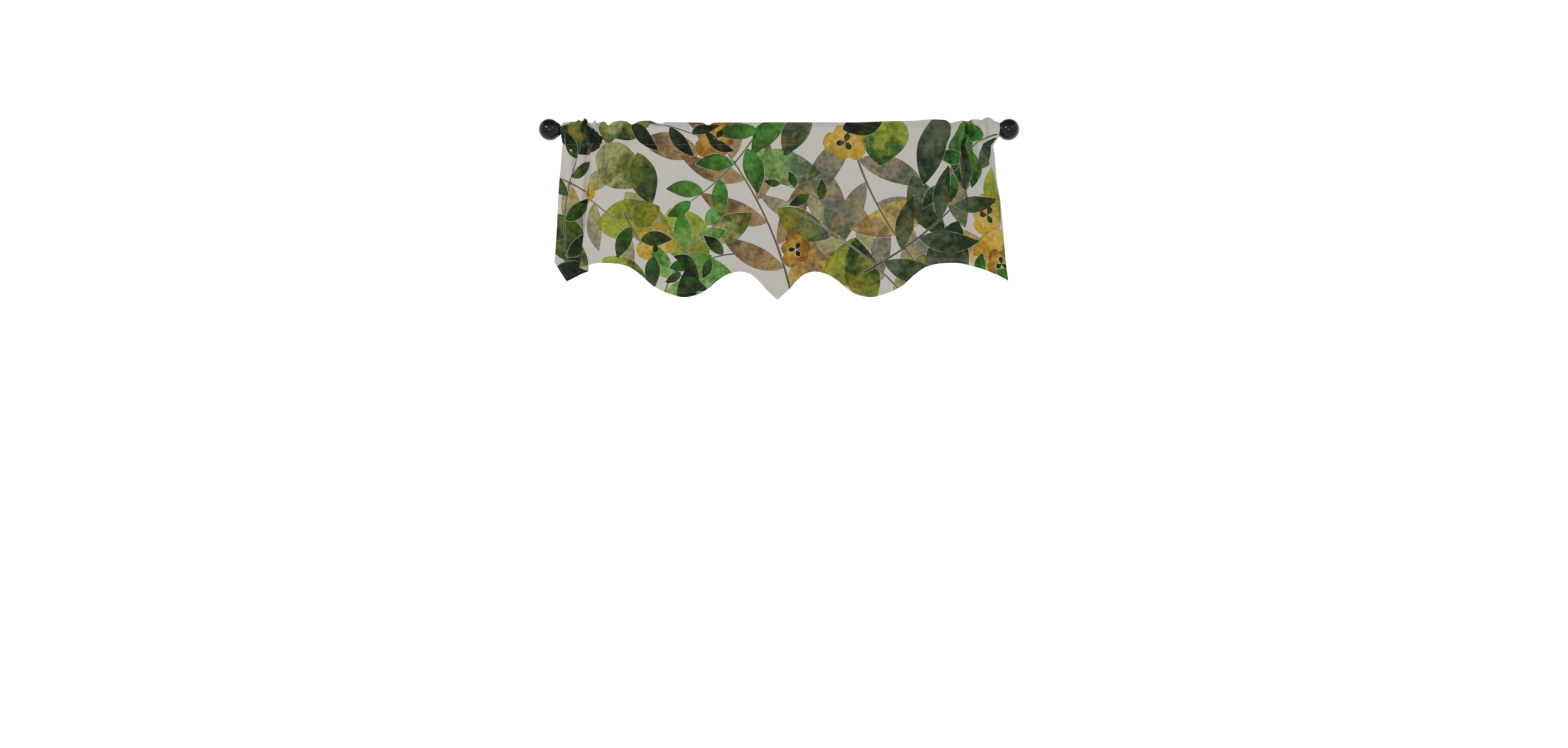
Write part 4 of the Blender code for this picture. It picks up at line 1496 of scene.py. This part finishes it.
@dataclass
class Valance:
    """The printed cloth and its stitching."""

    form: HungCloth
    pocket_steps: int = 16
    panel_steps: int = 108
    back_every: int = 3
    tight_pitch: float = 0.0017
    easy_pitch: float = 0.0034
    stitch_pitch: float = 0.0032
    stitch_length: float = 0.0024
    thread_radius: float = 0.00022
    seam_above: float = 0.0025
    tight_from: float = 0.430
    seam_row_gap: float = 0.0034
    sharp_angle: float = 62.0
    leaf_print: LeafPrint = field(default_factory=LeafPrint)
    surface: ClothGrids | None = field(default=None, init=False)

    def columns(self) -> Array:
        """Flat places of the columns, closer together where the folds are tight.

        Returns:
            The places, rising.
        """
        half, tight = self.form.half_width, self.tight_from
        zones = (
            (-half, -tight, self.tight_pitch),
            (-tight, 0.0, self.easy_pitch),
            (0.0, tight, self.easy_pitch),
            (tight, half, self.tight_pitch),
        )
        places = [
            np.linspace(start, end, round((end - start) / pitch), endpoint=False)
            for start, end, pitch in zones
        ]
        places = np.concatenate([*places, [half]])
        for tip in (-HEM[-1].at, HEM[-1].at):
            places[np.argmin(np.abs(places - tip))] = tip
        return np.unique(np.round(places / self.form.fine).astype(int)) * self.form.fine

    def side_wall(
        self, made: FaceList, outer: Array, inner: Array, band: Limits, flip: bool
    ) -> None:
        """Joins two edges of the cloth along a side, in pieces as long as the inner one's.

        Args:
            made: the faces so far.
            outer: vertex numbers down the outer edge.
            inner: vertex numbers down the inner edge, which may be fewer.
            band: where the wall lies on the map.
            flip: whether the faces are turned over.
        """
        pieces = len(inner) - 1
        every = (len(outer) - 1) // pieces
        for k in range(pieces):
            wall = [*outer[k * every : (k + 1) * every + 1], inner[k + 1], inner[k]]
            along = [(k + j / every) / pieces for j in range(every + 1)]
            places = [(share, band[0]) for share in along]
            made.face(wall, places + [(along[-1], band[1]), (along[0], band[1])], flip)

    def cloth_mesh(self, grids: ClothGrids) -> tuple[bpy.types.Mesh, Array, Array, Array]:
        """One closed mesh of the cloth.

        Args:
            grids: the faces' points.

        Returns:
            The mesh, and each vertex's flat place, flat height and wrong-side mark.
        """
        every = self.back_every
        back = grids.back[::every]
        blocks = (grids.front, back, grids.pocket_back, grids.front_inside, grids.back_inside)
        form = self.form
        pocket_rows = len(grids.pocket_back)
        front_cut = grids.front_height
        mirrored = 2 * (form.seam_height + form.pocket_cut) - front_cut[:pocket_rows]
        cuts = (
            front_cut,
            front_cut[pocket_rows - 1 :][::every],
            mirrored,
            front_cut[:pocket_rows],
            mirrored,
        )
        marks = (0.0, 1.0, 0.0, 1.0, 1.0)
        points, places, heights, wrong, numbers = [], [], [], [], []
        start = 0
        for block, cut, mark in zip(blocks, cuts, marks):
            rows, columns = block.shape[:2]
            points.append(block.reshape(-1, 3))
            places.append(np.tile(grids.flat, rows))
            heights.append(cut.ravel())
            wrong.append(np.full(rows * columns, mark))
            numbers.append(start + np.arange(rows * columns).reshape(rows, columns))
            start += rows * columns
        face, rear, pocket_rear, inner_front, inner_rear = numbers
        seam = pocket_rows - 1
        pocket_rear[0], pocket_rear[-1] = face[0], rear[0]
        inner_rear[0], inner_rear[-1] = inner_front[0], inner_front[-1]

        made = FaceList()
        across = (grids.flat + form.half_width) / (2 * form.half_width)
        made.grid(face, Band.FRONT.value, across)
        made.grid(rear, Band.BACK.value, across, True)
        made.grid(pocket_rear, Band.POCKET_BACK.value, across, True)
        made.grid(inner_front, Band.FRONT_INSIDE.value, across, True)
        made.grid(inner_rear, Band.BACK_INSIDE.value, across)
        made.grid(np.stack([face[-1], rear[-1]]), Band.HEM_EDGE.value, across)
        for column, flip, band in ((0, False, Band.LEFT_EDGE), (-1, True, Band.RIGHT_EDGE)):
            low, high = band.value
            strip = (high - low) / 4
            walls = (
                (face[: seam + 1], inner_front, flip),
                (pocket_rear, inner_rear, not flip),
                (face[seam:], rear, flip),
            )
            for outer, inner, turned in walls:
                edges = (outer[:, column], inner[:, column])
                self.side_wall(made, *edges, (low, low + strip / 2), turned)
                low += strip
            corner = [face[seam, column], inner_front[-1, column], rear[0, column]]
            made.face(corner, [(0.0, low), (strip, low), (0.0, low + strip)], not flip)
        mesh = made.mesh("valance_cloth", np.concatenate(points))
        used = np.zeros(start, bool)
        used[np.concatenate([block.ravel() for block in numbers])] = True
        values = [np.concatenate(part) for part in (places, heights, wrong)]
        self.drop_loose(mesh)
        return mesh, *(value[used] for value in values)

    def drop_loose(self, mesh: bpy.types.Mesh) -> None:
        """Deletes vertices that no face uses, and turns the faces outwards.

        Args:
            mesh: the mesh, which is changed.
        """
        bm = bmesh.new()
        bm.from_mesh(mesh)
        loose = [vert for vert in bm.verts if not vert.link_faces]
        bmesh.ops.delete(bm, geom=loose, context="VERTS")
        bmesh.ops.recalc_face_normals(bm, faces=bm.faces)
        bm.to_mesh(mesh)
        bm.free()

    def build(self) -> bpy.types.Object:
        """Builds the cloth, prints it and gives it its flat coordinates.

        Returns:
            The cloth.
        """
        pocket = np.linspace(0.0, 1.0, self.pocket_steps + 1)
        panel = np.linspace(0.0, 1.0, self.panel_steps + 1)
        self.surface = self.form.grids(pocket, panel, self.columns())
        mesh, place, height, wrong = self.cloth_mesh(self.surface)
        self.leaf_print.print_on(mesh, place, height, wrong)
        corners = np.empty(len(mesh.loops), np.int32)
        mesh.loops.foreach_get("vertex_index", corners)
        cut = mesh.uv_layers.new(name="cut")
        cut.active_render = True
        flat_places = np.stack([place, height], axis=1)[corners].astype(np.float32)
        cut.data.foreach_set("uv", flat_places.ravel())
        mesh.shade_smooth()
        mesh.set_sharp_from_angle(angle=math.radians(self.sharp_angle))
        return add_object("valance_cloth", mesh)

    def stitch_lines(self) -> list[Array]:
        """Lines on the cloth's face that the stitches follow.

        Returns:
            The pocket's seam, the hem and the two sides.
        """
        front = self.surface.front
        proud = np.array([0.0, -0.0001, 0.0])
        seam = self.pocket_steps
        hem = len(front) - 1 - max(1, round(self.form.hem_depth / self.seam_row_gap))
        side = max(1, round(self.form.hem_depth / self.tight_pitch))
        lines = [front[seam], front[hem, side:-side], front[seam:hem, side], front[seam:hem, -side]]
        return [line + proud for line in lines]

    def stitch_tree(self, material: bpy.types.Material) -> bpy.types.NodeTree:
        """Geometry nodes that lay a thread's stitches along lines of edges.

        Args:
            material: the thread's material.

        Returns:
            The tree, with its inputs Lines, Pitch, Stitch Length and Thread Radius.
        """
        tree = bpy.data.node_groups.new("stitch_run", "GeometryNodeTree")
        sockets = (
            ("Lines", "INPUT", "Geometry"), ("Pitch", "INPUT", "Float"),
            ("Stitch Length", "INPUT", "Float"), ("Thread Radius", "INPUT", "Float"),
            ("Stitches", "OUTPUT", "Geometry"),
        )
        for name, way, kind in sockets:
            tree.interface.new_socket(name=name, in_out=way, socket_type=f"NodeSocket{kind}")
        kinds = {
            "given": "NodeGroupInput", "made": "NodeGroupOutput",
            "curve": "GeometryNodeMeshToCurve", "spaced": "GeometryNodeResampleCurve",
            "bead": "GeometryNodeMeshUVSphere",
            "tangent": "GeometryNodeInputTangent", "turn": "FunctionNodeAlignRotationToVector",
            "half": "ShaderNodeMath", "size": "ShaderNodeCombineXYZ",
            "laid": "GeometryNodeInstanceOnPoints", "real": "GeometryNodeRealizeInstances",
            "dressed": "GeometryNodeSetMaterial",
        }
        nodes = {name: tree.nodes.new(kind) for name, kind in kinds.items()}
        nodes["spaced"].mode = "LENGTH"
        nodes["turn"].axis = "Z"
        nodes["half"].operation = "MULTIPLY"
        nodes["half"].inputs[1].default_value = 0.5
        for name, value in (("Segments", 6), ("Rings", 4), ("Radius", 1.0)):
            nodes["bead"].inputs[name].default_value = value
        nodes["dressed"].inputs["Material"].default_value = material
        links = (
            ("given", "Lines", "curve", "Mesh"), ("curve", "Curve", "spaced", "Curve"),
            ("given", "Pitch", "spaced", "Length"), ("given", "Stitch Length", "half", 0),
            ("given", "Thread Radius", "size", "X"), ("given", "Thread Radius", "size", "Y"),
            ("half", 0, "size", "Z"), ("tangent", "Tangent", "turn", "Vector"),
            ("spaced", "Curve", "laid", "Points"), ("bead", "Mesh", "laid", "Instance"),
            ("turn", "Rotation", "laid", "Rotation"), ("size", "Vector", "laid", "Scale"),
            ("laid", "Instances", "real", "Geometry"), ("real", "Geometry", "dressed", "Geometry"),
            ("dressed", "Geometry", "made", "Stitches"),
        )
        for start, output, end, taken in links:
            tree.links.new(nodes[start].outputs[output], nodes[end].inputs[taken])
        return tree

    def build_stitches(self, material: bpy.types.Material) -> bpy.types.Object:
        """Sews the seam, hem and sides, as one plain mesh.

        Args:
            material: the thread's material.

        Returns:
            The stitches.
        """
        points, edges = [], []
        for line in self.stitch_lines():
            start = len(points)
            points += line.tolist()
            edges += [(k, k + 1) for k in range(start, len(points) - 1)]
        lines = bpy.data.meshes.new("stitch_lines")
        lines.from_pydata(points, edges, [])
        thread = add_object("valance_stitches", lines)
        modifier = thread.modifiers.new("stitches", "NODES")
        tree = self.stitch_tree(material)
        modifier.node_group = tree
        sizes = (self.stitch_pitch, self.stitch_length, self.thread_radius)
        sockets = [item for item in tree.interface.items_tree if item.in_out == "INPUT"][1:]
        for socket, size in zip(sockets, sizes):
            modifier[socket.identifier] = size
        graph = bpy.context.evaluated_depsgraph_get()
        sewn = bpy.data.meshes.new_from_object(thread.evaluated_get(graph))
        thread.modifiers.remove(modifier)
        thread.data = sewn
        sewn.shade_smooth()
        return thread


# ------------------------------------------------------------------ rod and finials
@dataclass
class Finial:
    """A turned finial: plug, ring, groove and ball."""

    side: Side
    rod_half: float = 0.5305
    gap: float = 0.0004
    ball_radius: float = 0.026
    ball_out: float = 0.558
    ring_radius: float = 0.0175
    ring_length: float = 0.0085
    neck_radius: float = 0.0115
    plug_radius: float = 0.0066
    plug_length: float = 0.024
    groove: float = 0.0007
    plug_bevel: float = 0.0008
    ring_steps: int = 12
    ball_steps: int = 44
    turns: int = 96
    sharp_angle: float = 40.0

    def profile(self) -> list[Vector]:
        """Points of the turned outline, from the plug's end to the ball's.

        Returns:
            The points, above the rod's axis.
        """
        face, plug = self.rod_half + self.gap, self.plug_radius
        end, bevel = face - self.plug_length, self.plug_bevel
        points = [(end, 0.0), (end, plug - bevel), (end + bevel, plug), (face, plug)]
        points += [(face, self.neck_radius - 0.0006), (face + 0.0003, self.neck_radius)]
        for k in range(1, self.ring_steps + 1):
            share = k / self.ring_steps
            swell = (self.ring_radius - self.neck_radius) * math.sin(math.pi / 2 * share)
            points.append((face + self.ring_length * share, self.neck_radius + swell))
        points.append((face + self.ring_length + 0.0006, self.ring_radius - self.groove))
        start = math.asin((self.ring_radius + 0.0002) / self.ball_radius)
        for k in range(self.ball_steps + 1):
            angle = start + (math.pi - start) * k / self.ball_steps
            along = self.ball_out - self.ball_radius * math.cos(angle)
            points.append((along, max(self.ball_radius * math.sin(angle), 0.0)))
        return [Vector((self.side.value * along, 0.0, radius)) for along, radius in points]

    def build(self) -> bpy.types.Object:
        """Turns the finial.

        Returns:
            The finial.
        """
        name = f"finial_{self.side.name.lower()}_turned"
        mesh = smooth_mesh(name, spun(self.profile(), (1, 0, 0), self.turns, 1e-6))
        mesh.set_sharp_from_angle(angle=math.radians(self.sharp_angle))
        return add_object(name, mesh)


# ------------------------------------------------------------------ studio
class Light(NamedTuple):
    """A soft rectangular light."""

    name: str
    place: Place
    size: tuple[float, float]
    watts: float


@dataclass
class Studio:
    """Camera, pale bowl of a backdrop and soft lights."""

    look_from: Place = (0.012, -2.545, -0.42)
    pitch: float = -3.95
    lens: float = 23.695
    floor_height: float = -2.2
    bowl_radius: float = 6.5
    bowl_bend: float = 2.4
    bowl_top: float = 6.0
    bowl_sides: int = 96
    bend_steps: int = 24
    pale: Colour = (0.85, 0.85, 0.845)
    less_pale: Colour = (0.81, 0.81, 0.805)
    glow: Limits = (-2.5, 2.0)
    least_glow: Colour = (0.22, 0.22, 0.22)
    full_glow: Colour = (1.0, 1.0, 1.0)
    lit: Place = (0.0, 0.0, -0.2)
    sky_strength: float = 0.25
    lights: tuple[Light, ...] = (
        Light("key_left", (-1.6, -2.45, 1.02), (1.1, 0.42), 23),
        Light("key_right", (1.95, -2.45, 1.02), (1.1, 0.42), 7.5),
        Light("strip", (0.1, -3.0, -0.30), (1.3, 0.10), 8),
    )

    def camera(self) -> None:
        """Places the camera level with the hem, looking slightly down."""
        data = bpy.data.cameras.new("camera")
        data.lens = self.lens
        data.sensor_width = 36.0
        data.clip_end = 60.0
        camera = add_object("camera", data)
        camera.location = self.look_from
        camera.rotation_euler = (math.radians(90 + self.pitch), 0.0, 0.0)
        bpy.context.scene.camera = camera

    def paper(self) -> bpy.types.Material:
        """Pale paper that glows a little, most behind the valance.

        Returns:
            The material.
        """
        paint = Paint("pale_paper")
        place = paint.place()
        behind = paint.node("ShaderNodeSeparateXYZ", "Y", Vector=place)
        cloud = paint.noise(place, 1.2, 2.0, 0.5)
        paint.set(
            Base__Color=paint.mix(cloud * 0.25, self.pale, self.less_pale),
            Roughness=0.9,
            Emission__Color=paint.mix(
                paint.ramp(behind, *self.glow), self.least_glow, self.full_glow
            ),
            Emission__Strength=0.5,
        )
        return paint.material

    def bowl(self) -> bpy.types.Object:
        """A round pale floor that curves up into a wall on every side.

        Returns:
            The bowl.
        """
        bend, floor = self.bowl_bend, self.floor_height
        profile = [Vector((0.0, 0.0, floor))]
        for k in range(self.bend_steps + 1):
            angle = math.pi / 2 * k / self.bend_steps
            out = self.bowl_radius - bend + bend * math.sin(angle)
            profile.append(Vector((out, 0.0, floor + bend * (1 - math.cos(angle)))))
        profile.append(Vector((self.bowl_radius, 0.0, self.bowl_top)))
        form = spun(profile, (0, 0, 1), self.bowl_sides, 1e-5)
        if max(form.faces, key=lambda face: face.calc_center_median().z).normal.z > 0:
            bmesh.ops.reverse_faces(form, faces=form.faces)
        mesh = smooth_mesh("bowl", form)
        mesh.materials.append(self.paper())
        return add_object("bowl", mesh)

    def hang_light(self, light: Light) -> None:
        """Adds a soft rectangular light that faces the valance.

        Args:
            light: its name, place, size and power.
        """
        data = bpy.data.lights.new(light.name, "AREA")
        data.shape = "RECTANGLE"
        data.size, data.size_y = light.size
        data.energy = light.watts
        lamp = add_object(light.name, data)
        lamp.location = light.place
        aim = Vector(self.lit) - Vector(light.place)
        lamp.rotation_euler = aim.to_track_quat("-Z", "Y").to_euler()

    def build(self) -> None:
        """Builds the camera, the bowl, the lights and the light from all round."""
        self.camera()
        self.bowl()
        for light in self.lights:
            self.hang_light(light)
        world = bpy.data.worlds.new("soft_light")
        world.use_nodes = True
        sky = world.node_tree.nodes["Background"]
        sky.inputs["Color"].default_value = (1.0, 1.0, 1.0, 1.0)
        sky.inputs["Strength"].default_value = self.sky_strength
        bpy.context.scene.world = world
        bpy.context.scene.view_settings.view_transform = "Standard"


def dress(piece: bpy.types.Object, material: bpy.types.Material) -> None:
    """Gives a piece its only material."""
    piece.data.materials.clear()
    piece.data.materials.append(material)


def main() -> None:
    """Builds the valance's looks in order."""
    Studio().build()

    valance = Valance(HungCloth())
    cloth = valance.build()
    dress(cloth, PrintedCotton().build())
    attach(cloth, BODY)
    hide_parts("valance")
    stitches = valance.build_stitches(CottonThread().build())
    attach(stitches, BODY)
    form = valance.form
    length = 2 * form.pocket_cut + form.seam_height - HEM[0].height
    form.cut_area()
    LOG.info("cloth %s, stitches %s", len(cloth.data.polygons), len(stitches.data.polygons))

    bronze = DarkBronze("finial_bronze").build()
    for side in Side:
        finial = Finial(side).build()
        dress(finial, bronze)
        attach(finial, BODY)
        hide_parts(f"finial_{side.name.lower()}")
        LOG.info("%s %s", finial.name, len(finial.data.polygons))
    dress(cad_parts["rod"], DarkBronze("rod_bronze", 0.32).build())


if __name__ == "__main__":
    logging.basicConfig(level=logging.INFO)
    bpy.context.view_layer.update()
    main()
